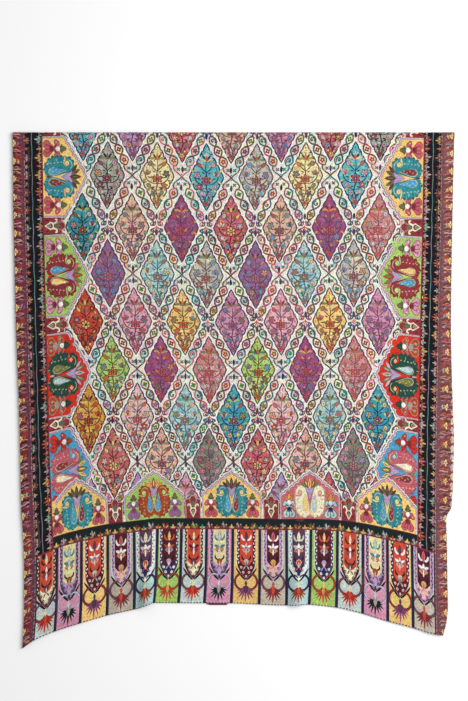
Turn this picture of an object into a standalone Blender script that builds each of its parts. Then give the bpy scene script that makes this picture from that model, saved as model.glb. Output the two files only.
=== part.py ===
"""A printed shawl, folded once across its length and laid flat, the print outwards.

The cloth is one length. Its stretches are separate solids, 0.3 mm apart: the fold along the
top, the field with its arched border, the dark bands on three sides of it, the star borders
with their edges turned under, the end panel down to the hem, in five stretches parted beside
its two soft ridges, and the hidden half below.

Cloth places are (u, v) on the flat cloth. u runs across it from its middle line, and v runs
from the fold to the hem of the upper half. The model has its origin under the middle of the
shawl, +Y towards the fold and +Z up. Units are metres.
"""

import bpy
import bmesh
import numpy as np

MM = 0.001

# Driving sizes of the cloth
WALL = 1.6 * MM
SEAM = 0.3 * MM
CLOTH_HALF_WIDTH = 508 * MM
HEM_V = 1047 * MM
FOLD_V = 14 * MM
BACK_TO_FRONT = 573.4 * MM

# The print's own lines, where the stretches part
FIELD_HALF = 424 * MM
DARK_MIDDLE = 444.8 * MM
STAR_INNER = 463.3 * MM
CROSS_V = 857 * MM
END_V = 881 * MM

# Heights of the stack
HIDDEN_HEIGHT = 2 * WALL + SEAM
HEM_TAPER = 70 * MM
FLAP_RISE_RUN = 12 * MM
FLAP_CLEARANCE = 6 * MM
FLAP_LEAST = 3 * MM

# The dark bands' middle lines in plan, and how far the star borders reach past them
EDGE_COLUMNS = ("v", "left_line", "right_line", "left_reach", "right_reach")
EDGES = (
    (0, -446.0, 443.6, 44.1, 46.6),
    (150, -443.5, 441.0, 45.8, 45.6),
    (370, -438.0, 436.0, 46.2, 46.8),
    (486, -434.8, 433.2, 45.4, 50.6),
    (568, -432.4, 431.8, 44.4, 54.8),
    (650, -430.0, 430.1, 44.6, 59.0),
    (727, -427.6, 429.4, 45.4, 57.9),
    (783, -424.6, 428.8, 46.4, 55.2),
    (807, -423.4, 428.6, 45.6, 43.5),
    (881, -420.6, 428.2, 45.0, 45.9),
    (978, -421.6, 429.8, 44.4, 45.9),
    (1015, -423.6, 430.8, 44.0, 42.4),
    (1047, -426.6, 431.6, 43.4, 33.5),
)

# How far each part of the hem lies below its middle, in plan
HEM_COLUMNS = ("u", "drop")
HEM_DROP = (
    (-492, 103),
    (-463, 82),
    (-405, 58),
    (-347, 40.5),
    (-290, 24.5),
    (-232, 12),
    (-180, -2),
    (-116, -1.6),
    (0, -1),
    (116, 3.5),
    (160, 1.5),
    (232, 7.5),
    (290, 20),
    (347, 37),
    (405, 51.5),
    (463, 68),
    (492, 72),
)

# The drop fades towards the fold, sooner near the middle than at the sides
# The fade is a power, from the middle's to the sides', which falls by the slope for each metre
DROP_SIDE_FROM = 230 * MM
DROP_POWER_MIDDLE = 4.5
DROP_POWER_SIDE = 1.4
DROP_POWER_SLOPE = 12.0
DROP_LIMIT = 1.1

# Soft ridges that run up from the hem
# The columns are u, lean, half width, height and the v where a ridge begins
RIDGES = (
    (-203, 0.02, 29, 15.0, 735),
    (145, -0.03, 29, 11.5, 790),
)
RIDGE_START = min(top_v for *_, top_v in RIDGES) * MM
RIDGE_POWER = 1.25
STEEPEST_SQUARED = 0.9

# The print lines beside the ridges, where the end panel parts into five stretches
END_LINES = (-231.6 * MM, -173.7 * MM, 115.8 * MM, 173.7 * MM)
END_STRETCHES = (
    "end_panel_left",
    "end_ridge_left",
    "end_panel_middle",
    "end_ridge_right",
    "end_panel_right",
)
LEAST_STEP = 2 * MM

# The hidden half shows past the upper hem between these places
PEEK_FROM = -66 * MM
PEEK_TO = -8 * MM
PEEK = 4 * MM
PEEK_RUN = 8 * MM
HIDDEN_INSET = 3 * MM

# The hidden half's rounded edge, with a groove where its two layers part
# Its levels are shares of the height
EDGE_GROOVE = 0.7 * MM
EDGE_ROUND = 0.6 * MM
UPPER_LAYER = 0.77
GROOVE_LEVEL = 0.5
LOWER_LAYER = 0.23
TWO_LAYERS_FROM = 0.8 * HIDDEN_HEIGHT

# How closely the surfaces are sampled
WIDE_STEP = 34 * MM
RIDGE_STEP = 7.3 * MM
LONG_STEP = 52 * MM
HEM_STEP = 24 * MM
FOLD_STEP = 95 * MM
FOLD_SIDE_STEP = 9 * MM
HIDDEN_LONG_STEP = 100 * MM
HIDDEN_HEM_STEP = 23 * MM
HIDDEN_WIDE_STEP = 60 * MM
NORMAL_STEP = 0.5 * MM
LEAST_SPAN = 1e-6 * MM
BEND_STEPS = 5
BORDER_PLACES = 5
FLAP_PLACES = 4
BAND_PLACES = 4
PLAN_PLACES = 1201

# Finishes
ROUGHNESS = 0.78
SHARP_ANGLE = 0.7
FIELD_COLOUR = (0.62, 0.55, 0.48)
DARK_COLOUR = (0.03, 0.03, 0.05)
STAR_COLOUR = (0.27, 0.08, 0.10)
END_COLOUR = (0.52, 0.48, 0.36)
REVERSE_COLOUR = (0.30, 0.24, 0.22)


def column(rows, columns, name):
    """One column of a table, in metres."""
    return np.array([row[columns.index(name)] for row in rows]) * MM


def curve_through(xs, ys, x):
    """A smooth curve through the places (xs, ys) that never swings past them."""
    x = np.clip(x, xs[0], xs[-1])
    step = np.diff(xs)
    slope = np.diff(ys) / step
    grade = np.zeros_like(ys)
    same_way = slope[1:] * slope[:-1] > 0
    mean = 2 * slope[1:] * slope[:-1] / np.where(same_way, slope[1:] + slope[:-1], 1)
    grade[1:-1] = np.where(same_way, mean, 0)
    grade[0] = slope[0]
    grade[-1] = slope[-1]
    i = np.clip(np.searchsorted(xs, x) - 1, 0, len(step) - 1)
    t = (x - xs[i]) / step[i]
    rise = ys[i] * (1 + 2 * t) * (1 - t) ** 2 + ys[i + 1] * t * t * (3 - 2 * t)
    bend = grade[i] * t * (1 - t) ** 2 - grade[i + 1] * t * t * (1 - t)
    return rise + bend * step[i]


def edge(name, v):
    """A column of EDGES at v."""
    return curve_through(column(EDGES, EDGE_COLUMNS, "v"), column(EDGES, EDGE_COLUMNS, name), v)


def eased(t):
    """0 to 1 with soft ends."""
    t = np.clip(t, 0, 1)
    return t * t * (3 - 2 * t)


def reach(side, v):
    """Where the border's edge turns under, as a distance from the cloth's middle line."""
    name = "left_reach" if side < 0 else "right_reach"
    return DARK_MIDDLE + edge(name, v)


def flap(side, v):
    """The width that is turned under."""
    return np.maximum(CLOTH_HALF_WIDTH - reach(side, v), FLAP_LEAST)


def ridge_height(u, v):
    """The raised folds alone."""
    total = np.zeros(np.broadcast(u, v).shape)
    for place, lean, half_width, height, top_v in RIDGES:
        run = np.clip((v - top_v * MM) / (HEM_V - top_v * MM), 0, None)
        middle = place * MM + lean * (v - HEM_V)
        across = np.clip(abs(u - middle) / (half_width * MM), 0, 1)
        total = total + height * MM * run**RIDGE_POWER * np.cos(np.pi / 2 * across) ** 2
    return total


def hidden_top(u, v):
    """The top of the hidden layers: two cloths thick, and one at the hem between the sides."""
    near_hem = eased((v - (HEM_V - HEM_TAPER)) / HEM_TAPER)
    near_side = eased((abs(u) - (STAR_INNER - 2 * HEM_TAPER)) / HEM_TAPER)
    return HIDDEN_HEIGHT - (WALL + SEAM) * near_hem * (1 - near_side)


def front_top(u, v):
    """The height of the upper half's face, raised where its edges are turned under it."""
    side = np.where(u < 0, -1, 1)
    inner_end = np.where(side < 0, reach(-1, v) - flap(-1, v), reach(1, v) - flap(1, v))
    inner_end = inner_end - FLAP_CLEARANCE
    double = eased((abs(u) - (inner_end - FLAP_RISE_RUN)) / FLAP_RISE_RUN)
    return hidden_top(u, v) + SEAM + WALL + (WALL + SEAM) * double + ridge_height(u, v)


def plan(u, v):
    """(x, y) of a cloth place. Ridges use up width, and the hem's sides reach further down."""
    u, v = np.broadcast_arrays(np.asarray(u, float), np.asarray(v, float))
    fine = np.linspace(-DARK_MIDDLE, DARK_MIDDLE, PLAN_PLACES)
    used = np.gradient(ridge_height(fine, v.reshape(-1, 1)), fine, axis=1)
    width = np.sqrt(1 - np.minimum(used**2, STEEPEST_SQUARED))
    along = np.cumsum((width[:, 1:] + width[:, :-1]) / 2, axis=1)
    along = np.hstack([np.zeros((v.size, 1)), along]) / along[:, -1:]
    inside = np.clip(u, -DARK_MIDDLE, DARK_MIDDLE).reshape(-1)
    share = np.array([np.interp(a, fine, row) for a, row in zip(inside, along, strict=True)])
    left = edge("left_line", v)
    right = edge("right_line", v)
    x = left + (right - left) * share.reshape(u.shape) + (u - inside.reshape(u.shape))
    power = DROP_POWER_MIDDLE - DROP_POWER_SLOPE * (abs(u) - DROP_SIDE_FROM)
    power = np.clip(power, DROP_POWER_SIDE, DROP_POWER_MIDDLE)
    hem = curve_through(column(HEM_DROP, HEM_COLUMNS, "u"), column(HEM_DROP, HEM_COLUMNS, "drop"), u)
    drop = hem * np.clip(v / HEM_V, 0, DROP_LIMIT) ** power
    return x, BACK_TO_FRONT - v - drop


def front(u, v):
    """The upper half's face at (u, v), as points."""
    x, y = plan(u, v)
    return np.stack([x, y, front_top(u, v) + 0 * x], axis=-1)


def front_normal(u, v):
    """The way that the upper half's face looks."""
    across = front(u + NORMAL_STEP, v) - front(u - NORMAL_STEP, v)
    down = front(u, v - NORMAL_STEP) - front(u, v + NORMAL_STEP)
    normal = np.cross(across, down)
    return normal / np.linalg.norm(normal, axis=-1, keepdims=True)


def samples(start, end, step, fine=(), fine_step=1.0):
    """Places from start to end, step apart, or fine_step apart inside the spans of fine."""
    marks = [start]
    for low, high in sorted(fine):
        if low < end and high > start:
            marks += [max(low, start), min(high, end)]
    marks.append(end)
    places = [start]
    for i in range(len(marks) - 1):
        low, high = marks[i], marks[i + 1]
        if high - low > LEAST_SPAN:
            count = max(1, round((high - low) / (fine_step if i % 2 else step)))
            places += list(np.linspace(low, high, count + 1)[1:])
    return np.array(places)


def columns_between(low, high):
    """Places across the cloth, close together over the ridges."""
    spans = []
    for place, lean, half_width, _, top_v in RIDGES:
        drift = lean * (top_v * MM - HEM_V)
        ends = (place * MM, place * MM + drift)
        spans.append((min(ends) - half_width * MM, max(ends) + half_width * MM))
    return samples(low, high, WIDE_STEP, spans, RIDGE_STEP)


def parted(places, lines):
    """Places across the cloth, parted by a seam's gap at each of the lines."""
    lows = [places[0]] + [line + SEAM / 2 for line in lines]
    highs = [line - SEAM / 2 for line in lines] + [places[-1]]
    stretches = []
    for low, high in zip(lows, highs, strict=True):
        inside = places[(places > low + LEAST_STEP) & (places < high - LEAST_STEP)]
        stretches.append(np.concatenate([[low], inside, [high]]))
    return stretches


def material(name, colour):
    """A cloth finish."""
    made = bpy.data.materials.new(name)
    made.use_nodes = True
    shader = made.node_tree.nodes["Principled BSDF"]
    shader.inputs["Base Color"].default_value = (*colour, 1)
    shader.inputs["Roughness"].default_value = ROUGHNESS
    shader.inputs["Metallic"].default_value = 0
    return made


def solid(name, points, faces, finish):
    """One closed body from its points and faces, with its faces looking out."""
    mesh = bpy.data.meshes.new(name)
    mesh.from_pydata([tuple(p) for p in points], [], faces)
    shape = bmesh.new()
    shape.from_mesh(mesh)
    bmesh.ops.recalc_face_normals(shape, faces=shape.faces)
    bmesh.ops.triangulate(shape, faces=shape.faces)
    shape.to_mesh(mesh)
    shape.free()
    mesh.shade_smooth()
    mesh.set_sharp_from_angle(angle=SHARP_ANGLE)
    mesh.materials.append(finish)
    made = bpy.data.objects.new(name, mesh)
    bpy.context.collection.objects.link(made)
    return made


def rim_of(rows, cols):
    """The grid's outside points in order, as indices of a rows by cols grid."""
    top = list(range(cols))
    right = [r * cols + cols - 1 for r in range(1, rows)]
    bottom = [(rows - 1) * cols + c for c in range(cols - 2, -1, -1)]
    left = [r * cols for r in range(rows - 2, 0, -1)]
    return top + right + bottom + left


def grid_faces(rows, cols, first=0):
    """Four-cornered faces of a rows by cols grid of points."""
    faces = []
    for r in range(rows - 1):
        for c in range(cols - 1):
            a = first + r * cols + c
            faces.append((a, a + 1, a + cols + 1, a + cols))
    return faces


def cloth_wall(name, us, vs, finish):
    """A stretch of the upper half: a wall under its face, closed round its sides."""
    uu, vv = np.meshgrid(us, vs)
    face = front(uu, vv).reshape(-1, 3)
    back = face - WALL * front_normal(uu, vv).reshape(-1, 3)
    count = len(face)
    rows, cols = len(vs), len(us)
    faces = grid_faces(rows, cols) + grid_faces(rows, cols, count)
    rim = rim_of(rows, cols)
    for a, b in zip(rim, rim[1:] + rim[:1], strict=True):
        faces.append((a, b, b + count, a + count))
    return solid(name, np.vstack([face, back]), faces, finish)


def rings_to_solid(name, rings, finish):
    """A body through equal closed rings, each one section, capped at both ends."""
    count = len(rings[0])
    faces = []
    for r in range(len(rings) - 1):
        for i in range(count):
            j = (i + 1) % count
            faces.append((r * count + i, r * count + j, (r + 1) * count + j, (r + 1) * count + i))
    half = count // 2
    for first in (0, (len(rings) - 1) * count):
        for i in range(half - 1):
            a, b = first + i, first + i + 1
            c, d = first + count - 2 - i, first + count - 1 - i
            faces.append((a, b, c, d))
    return solid(name, np.vstack(rings), faces, finish)


def border_section(side, v):
    """The star border's section at v: its face, the bend at its edge and the flap below.

    The outer path runs over the face and round to the flap's end. The inner path, in step
    with it, lies one wall further in.
    """
    bend = WALL + SEAM / 2
    edge_u = side * (reach(side, v) - bend)
    seam_u = side * (STAR_INNER + SEAM / 2)
    face_u = np.linspace(seam_u, edge_u, BORDER_PLACES)
    face_v = np.full(BORDER_PLACES, v)
    outer = front(face_u, face_v)
    inner = outer - WALL * front_normal(face_u, face_v)
    out = front(edge_u, v) - front(edge_u - side * MM, v)
    out[2] = 0
    out = out / np.linalg.norm(out)
    up = np.array([0, 0, 1])
    middle = outer[-1] - bend * up
    turns = np.radians(np.linspace(90, -90, BEND_STEPS + 1))[1:-1]
    round_out = [middle + bend * (np.cos(t) * out + np.sin(t) * up) for t in turns]
    round_in = [middle + SEAM / 2 * (np.cos(t) * out + np.sin(t) * up) for t in turns]
    flap_u = edge_u - side * np.linspace(0, flap(side, v), FLAP_PLACES)
    below = front(flap_u, np.full(FLAP_PLACES, v))
    outer = np.vstack([outer, round_out, below - (2 * WALL + SEAM) * up])
    inner = np.vstack([inner, round_in, below - (WALL + SEAM) * up])
    return np.vstack([outer, inner[::-1]])


def make_star_border(name, side, rows, finish):
    """A border along one long edge, with that edge turned under."""
    return rings_to_solid(name, [border_section(side, v) for v in rows], finish)


def fold_section(u):
    """The bend at the fold, from the upper seam round to the floor and the lower seam."""
    v = FOLD_V - SEAM / 2
    seam = front(u, v)
    bend = seam[2] / 2
    start = front(u, bend)
    start[2] = seam[2]
    forward = np.array([0, 1, 0])
    up = np.array([0, 0, 1])
    middle = start - bend * up
    turns = np.radians(np.linspace(90, -90, BEND_STEPS + 3))
    outer = [seam] + [middle + bend * (np.cos(t) * forward + np.sin(t) * up) for t in turns]
    outer.append(seam - seam[2] * up)
    thin = bend - WALL
    inner = [seam - WALL * up]
    inner += [middle + thin * (np.cos(t) * forward + np.sin(t) * up) for t in turns]
    inner.append(seam - (seam[2] - WALL) * up)
    return np.vstack([outer, inner[::-1]])


def make_fold(finish):
    """The rounded fold that joins the upper half to the hidden half."""
    ends = (-reach(-1, 0.0), reach(1, 0.0))
    sides = [(ends[0], -FIELD_HALF), (FIELD_HALF, ends[1])]
    places = samples(ends[0], ends[1], FOLD_STEP, sides, FOLD_SIDE_STEP)
    return rings_to_solid("fold", [fold_section(u) for u in places], finish)


def hidden_outline(u, v):
    """Plan places of the hidden half: a little inside the upper half, past it at one place."""
    x, y = plan(u, v)
    at_peek = eased((u - PEEK_FROM) / PEEK_RUN) * eased((PEEK_TO - u) / PEEK_RUN)
    at_hem = eased((v - (HEM_V - HEM_TAPER)) / HEM_TAPER)
    lift = HIDDEN_INSET - (HIDDEN_INSET + PEEK) * at_peek
    return x, y + lift * at_hem


def make_hidden_half(finish):
    """The half below and its own turned-in edges, as one flat-bottomed, rounded solid."""
    near_hem = (HEM_V - HEM_TAPER, HEM_V)
    vs = samples(FOLD_V + SEAM / 2, HEM_V, HIDDEN_LONG_STEP, [near_hem], HIDDEN_HEM_STEP)
    peek = (PEEK_FROM - PEEK_RUN, PEEK_TO + PEEK_RUN)
    shares = samples(-STAR_INNER, STAR_INNER, HIDDEN_WIDE_STEP, [peek], PEEK_RUN) / STAR_INNER
    rows, cols = len(vs), len(shares)
    left = -(reach(-1, vs) - HIDDEN_INSET - EDGE_ROUND)
    right = reach(1, vs) - HIDDEN_INSET - EDGE_ROUND
    uu = np.where(shares < 0, np.outer(-left, shares), np.outer(right, shares))
    vv = np.repeat(vs[:, None], cols, axis=1)
    x, y = hidden_outline(uu, vv)
    height = hidden_top(uu, vv)
    top = np.stack([x, y, height], axis=-1).reshape(-1, 3)
    rim = rim_of(rows, cols)
    ring = top[rim]
    ahead = np.roll(ring, -1, axis=0) - np.roll(ring, 1, axis=0)
    outward = np.stack([-ahead[:, 1], ahead[:, 0], 0 * ahead[:, 0]], axis=-1)
    outward /= np.linalg.norm(outward, axis=1, keepdims=True)
    if np.dot(outward[0], (0, 1, 0)) < 0:
        outward = -outward
    at_fold = vv.reshape(-1)[rim] < FOLD_V + SEAM
    two_layers = ring[:, 2] > TWO_LAYERS_FROM
    groove = np.where(two_layers & ~at_fold, EDGE_GROOVE, 0)
    rounded = np.where(at_fold, 0, EDGE_ROUND)
    levels = (
        (UPPER_LAYER, rounded),
        (GROOVE_LEVEL, rounded - groove),
        (LOWER_LAYER, rounded),
        (0.0, 0 * groove),
    )
    points = [top]
    faces = grid_faces(rows, cols)
    above = list(rim)
    total = len(top)
    for share, outset in levels:
        level = ring + outward * outset[:, None]
        level[:, 2] = ring[:, 2] * share
        points.append(level)
        below = list(range(total, total + len(rim)))
        for i in range(len(rim)):
            j = (i + 1) % len(rim)
            faces.append((above[i], above[j], below[j], below[i]))
        above = below
        total += len(rim)
    faces.append(tuple(above))
    return solid("hidden_half", np.vstack(points), faces, finish)


def main():
    for old in list(bpy.data.objects):
        bpy.data.objects.remove(old, do_unlink=True)

    field_cloth = material("field_cloth", FIELD_COLOUR)
    dark_cloth = material("dark_band_cloth", DARK_COLOUR)
    star_cloth = material("star_border_cloth", STAR_COLOUR)
    end_cloth = material("end_panel_cloth", END_COLOUR)
    reverse_cloth = material("reverse_cloth", REVERSE_COLOUR)

    half_gap = SEAM / 2
    upper_rows = samples(
        FOLD_V + half_gap,
        CROSS_V - half_gap,
        LONG_STEP,
        [(RIDGE_START, CROSS_V)],
        HEM_STEP,
    )
    cross_rows = np.array([CROSS_V + half_gap, END_V - half_gap])
    end_rows = samples(END_V + half_gap, HEM_V, HEM_STEP)
    dark_rows = np.concatenate([upper_rows[:-1], [CROSS_V, END_V - half_gap]])
    star_rows = np.concatenate([upper_rows[:-1], [CROSS_V, END_V], end_rows[1:]])

    field_columns = columns_between(-FIELD_HALF + half_gap, FIELD_HALF - half_gap)
    outer_columns = np.linspace(FIELD_HALF + half_gap, STAR_INNER - half_gap, BAND_PLACES)
    end_columns = np.concatenate([-outer_columns[::-1], field_columns, outer_columns])
    cloth_wall("field", field_columns, upper_rows, field_cloth)
    cloth_wall("dark_band_cross", field_columns, cross_rows, dark_cloth)
    for name, places in zip(END_STRETCHES, parted(end_columns, END_LINES), strict=True):
        cloth_wall(name, places, end_rows, end_cloth)

    for name, side in (("left", -1), ("right", 1)):
        cloth_wall(f"dark_band_{name}", np.sort(side * outer_columns), dark_rows, dark_cloth)
        make_star_border(f"star_border_{name}", side, star_rows, star_cloth)

    make_fold(field_cloth)
    make_hidden_half(reverse_cloth)


main()
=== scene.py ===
"""The folded shawl, dressed: every stretch of the cloth as a thin shell with its painted print.

Cloth places are (u, v) on the flat cloth. u runs across it from its middle line, and v runs
from the fold to the hem of the upper half. The print is painted in millimetres on the flat
cloth, x across and y towards the hem, and each shell is cut along the painted shapes.
"""

import math
import random

import bpy
import numpy as np
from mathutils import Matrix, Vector
from mathutils.geometry import delaunay_2d_cdt


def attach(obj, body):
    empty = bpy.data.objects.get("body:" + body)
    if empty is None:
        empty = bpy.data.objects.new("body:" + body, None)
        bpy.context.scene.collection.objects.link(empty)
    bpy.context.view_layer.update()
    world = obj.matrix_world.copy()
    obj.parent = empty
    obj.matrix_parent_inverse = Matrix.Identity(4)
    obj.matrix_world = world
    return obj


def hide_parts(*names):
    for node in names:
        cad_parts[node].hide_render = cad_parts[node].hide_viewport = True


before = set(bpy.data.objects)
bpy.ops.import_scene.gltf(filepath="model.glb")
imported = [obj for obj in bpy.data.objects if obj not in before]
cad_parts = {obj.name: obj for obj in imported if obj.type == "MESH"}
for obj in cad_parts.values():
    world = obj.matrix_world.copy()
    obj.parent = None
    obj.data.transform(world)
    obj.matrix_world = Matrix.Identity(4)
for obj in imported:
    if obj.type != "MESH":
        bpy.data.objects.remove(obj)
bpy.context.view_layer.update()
chance = random.Random(5)

MM = 0.001

# Sizes of the cloth, as its solids have them
WALL = 1.6 * MM
SEAM = 0.3 * MM
CLOTH = 0.8 * MM
CLOTH_HALF_WIDTH = 508 * MM
HEM_V = 1047 * MM
FOLD_V = 14 * MM
BACK_TO_FRONT = 573.4 * MM
FIELD_HALF = 424 * MM
DARK_MIDDLE = 444.8 * MM
STAR_INNER = 463.3 * MM
CROSS_V = 857 * MM
END_V = 881 * MM
HIDDEN_HEIGHT = 2 * WALL + SEAM
HEM_TAPER = 70 * MM
FLAP_RISE_RUN = 12 * MM
FLAP_CLEARANCE = 6 * MM
BEND = WALL + SEAM / 2
FOLD_BEND = HIDDEN_HEIGHT / 2 + (SEAM + WALL) / 2
FOLD_END = FOLD_V - 2 * (FOLD_V - FOLD_BEND) - math.pi * FOLD_BEND

# The same lines in flat mm, for the print and the pieces
HALF, DARK, INNER = FIELD_HALF / MM, DARK_MIDDLE / MM, STAR_INNER / MM
TOP, CROSS, END, HEM = FOLD_V / MM, CROSS_V / MM, END_V / MM, HEM_V / MM
END_U = (CLOTH_HALF_WIDTH - BEND + math.pi * BEND) / MM
# The side bands and borders are painted on a little past the fold and the hem, and the ivory
# ground past every edge: u from and to, v from and to
PRINT_TOP, PRINT_FOOT, PRINT_SIDE = -25, 1052, 515
GROUND = (-520, 520, -30, 1060)

# The dark bands' middle lines in plan, and how far the star borders reach past them
EDGE_COLUMNS = ("v", "left_line", "right_line", "left_reach", "right_reach")
EDGES = (
    (0, -446.0, 443.6, 44.1, 46.6),
    (150, -443.5, 441.0, 45.8, 45.6),
    (370, -438.0, 436.0, 46.2, 46.8),
    (486, -434.8, 433.2, 45.4, 50.6),
    (568, -432.4, 431.8, 44.4, 54.8),
    (650, -430.0, 430.1, 44.6, 59.0),
    (727, -427.6, 429.4, 45.4, 57.9),
    (783, -424.6, 428.8, 46.4, 55.2),
    (807, -423.4, 428.6, 45.6, 43.5),
    (881, -420.6, 428.2, 45.0, 45.9),
    (978, -421.6, 429.8, 44.4, 45.9),
    (1015, -423.6, 430.8, 44.0, 42.4),
    (1047, -426.6, 431.6, 43.4, 33.5),
)

# How far each part of the hem lies below its middle, in plan
HEM_COLUMNS = ("u", "drop")
HEM_DROP = (
    (-492, 103), (-463, 82), (-405, 58), (-347, 40.5), (-290, 24.5), (-232, 12), (-180, -2),
    (-116, -1.6), (0, -1), (116, 3.5), (160, 1.5), (232, 7.5), (290, 20), (347, 37), (405, 51.5),
    (463, 68), (492, 72),
)
DROP_SIDE_FROM = 230 * MM
DROP_POWER = (4.5, 1.4)
DROP_POWER_SLOPE = 12.0

# Soft ridges up from the hem: u, lean, half width, height and the v where each begins
RIDGES = (
    (-203, 0.02, 29, 15.0, 735),
    (145, -0.03, 29, 11.5, 790),
)

# Creases, listed one by one: u and v of the middle, turn from the cloth's length, half length,
# half width and height in mm, less than nothing for a trough
CREASES = (
    (-205, 640, 4, 190, 26, 0.9),
    (-176, 800, -6, 120, 20, -0.6),
    (-232, 900, 8, 120, 18, 0.7),
    (140, 700, -5, 170, 24, 0.8),
    (172, 860, 5, 130, 20, -0.6),
    (-3, 430, 2, 330, 34, 0.7),
    (-300, 330, -9, 210, 30, 0.8),
    (-268, 520, 12, 160, 24, -0.6),
    (268, 300, 10, 220, 30, 0.8),
    (300, 520, -12, 180, 26, -0.6),
    (60, 150, 84, 200, 22, 0.6),
    (-180, 214, 95, 180, 26, -0.5),
    (210, 610, 80, 150, 24, 0.6),
    (-90, 905, 3, 100, 18, 0.8),
    (20, 930, -3, 90, 20, -0.6),
    (64, 960, 4, 90, 16, 0.8),
    (260, 950, -4, 80, 18, 0.8),
    (340, 900, 14, 120, 22, 0.7),
    (-350, 930, -14, 130, 22, 0.9),
    (-420, 820, -4, 160, 18, 0.7),
    (415, 760, 3, 190, 16, 0.9),
)

# The hidden half shows past the upper hem between these places
PEEK_FROM = -66 * MM
PEEK_TO = -8 * MM
PEEK = 4 * MM
PEEK_SOFT = 8 * MM
HIDDEN_INSET = 3 * MM
EDGE_GROOVE = 0.7 * MM
EDGE_ROUND = 0.6 * MM

# The underside's print leaves out shapes smaller than this, in square mm
HIDDEN_LEAST = 150
# A place this little out of line with its neighbours is left out of a painted edge, in mm
STRAIGHT = 0.02

# How close together the meshes' places lie, in mm: across and along the ridges, and inside the
# hidden half, which has this many places along each side and along the fold, and along its foot
RIDGE_STEPS = (4.0, 9.0)
HIDDEN_STEPS, HIDDEN_GRID_INSET = (16, 16), 30
HIDDEN_SIDE_COUNT, HIDDEN_FOOT_COUNT = 110, 130
# Where the hidden half's flat width is taken
HIDDEN_WIDTH_V = 500.0

# The baked picture: its painted part's edge and size, a step past the rim, where its plain
# strip starts, and the strip's share of the painted part's width
MAP_EDGE, MAP_SIZE, MAP_STEP = 0.006, (0.93, 0.988), 0.001
STRIP_FROM, STRIP_SHARE = 0.95, 0.044 / 0.93

# A shell's cut edge is this much darker than its print: painted shade on its side faces. The hidden half's
# edge has rings of points at these shares of its height, and these painted shades on the walls between them,
# darkest in its groove
RIM_PAINTED_SHADE = 0.8
RING_SHARES, RING_PAINTED_SHADES = (0.23, 0.5, 0.77), (0.8, 0.45, 0.45, 0.8)

# The cloth's finish
MATT = {"Roughness": 0.86, "Specular IOR Level": 0.22, "Sheen Weight": 0.12, "Sheen Roughness": 0.45}


# The cloth's shape


def column(rows, columns, name):
    """One column of a table, in metres."""
    return np.array([row[columns.index(name)] for row in rows]) * MM


def unit(vectors):
    """Vectors brought to a length of one."""
    return vectors / np.maximum(np.linalg.norm(vectors, axis=-1, keepdims=True), 1e-12)


def curve_through(xs, ys, x):
    """A smooth curve through the places (xs, ys) that never swings past them."""
    x = np.clip(x, xs[0], xs[-1])
    step = np.diff(xs)
    slope = np.diff(ys) / step
    grade = np.zeros_like(ys)
    same_way = slope[1:] * slope[:-1] > 0
    mean = 2 * slope[1:] * slope[:-1] / np.where(same_way, slope[1:] + slope[:-1], 1)
    grade[1:-1] = np.where(same_way, mean, 0)
    grade[0] = slope[0]
    grade[-1] = slope[-1]
    i = np.clip(np.searchsorted(xs, x) - 1, 0, len(step) - 1)
    t = (x - xs[i]) / step[i]
    rise = ys[i] * (1 + 2 * t) * (1 - t) ** 2 + ys[i + 1] * t * t * (3 - 2 * t)
    bend = grade[i] * t * (1 - t) ** 2 - grade[i + 1] * t * t * (1 - t)
    return rise + bend * step[i]


def edge(name, v):
    """A column of EDGES at v."""
    return curve_through(column(EDGES, EDGE_COLUMNS, "v"), column(EDGES, EDGE_COLUMNS, name), v)


def eased(t):
    """0 to 1 with soft ends."""
    t = np.clip(t, 0, 1)
    return t * t * (3 - 2 * t)


def reach(side, v):
    """Where the border's edge turns under, as a distance from the cloth's middle line."""
    return DARK_MIDDLE + np.where(side < 0, edge("left_reach", v), edge("right_reach", v))


def ridge_height(u, v):
    """The raised folds alone."""
    total = np.zeros(np.broadcast(u, v).shape)
    for place, lean, half_width, height, top_v in RIDGES:
        run = np.clip((v - top_v * MM) / (HEM_V - top_v * MM), 0, None)
        middle = place * MM + lean * (v - HEM_V)
        across = np.clip(abs(u - middle) / (half_width * MM), 0, 1)
        total = total + height * MM * run**1.25 * np.cos(np.pi / 2 * across) ** 2
    return total


def crease_height(u, v):
    """The fine creases alone, fading at their ends and sides."""
    total = np.zeros(np.broadcast(u, v).shape)
    for place_u, place_v, turn, half_length, half_width, height in CREASES:
        c, s = math.cos(math.radians(turn)), math.sin(math.radians(turn))
        along = ((v - place_v * MM) * c + (u - place_u * MM) * s) / (half_length * MM)
        across = ((u - place_u * MM) * c - (v - place_v * MM) * s) / (half_width * MM)
        across = across + 0.35 * np.sin(2.6 * along)
        fade = np.exp(-(across**2) * 2.2) * np.cos(np.pi / 2 * np.clip(along, -1, 1)) ** 2
        total = total + height * MM * fade
    return total * eased(v / (40 * MM))


def hidden_top(u, v):
    """The top of the hidden layers: two cloths thick, and one at the hem between the sides."""
    near_hem = eased((v - (HEM_V - HEM_TAPER)) / HEM_TAPER)
    near_side = eased((abs(u) - (STAR_INNER - 2 * HEM_TAPER)) / HEM_TAPER)
    return HIDDEN_HEIGHT - (WALL + SEAM) * near_hem * (1 - near_side)


def front_top(u, v):
    """The height of the upper half's face, raised where its edges are turned under it."""
    side = np.where(u < 0, -1, 1)
    inner_end = 2 * reach(side, v) - CLOTH_HALF_WIDTH - FLAP_CLEARANCE
    double = eased((abs(u) - (inner_end - FLAP_RISE_RUN)) / FLAP_RISE_RUN)
    flat = hidden_top(u, v) + SEAM + WALL + (WALL + SEAM) * double
    return flat + ridge_height(u, v) + crease_height(u, v)


SHARE_U = np.linspace(-DARK_MIDDLE, DARK_MIDDLE, 901)
SHARE_V = np.linspace(730 * MM, 1060 * MM, 166)


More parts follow.
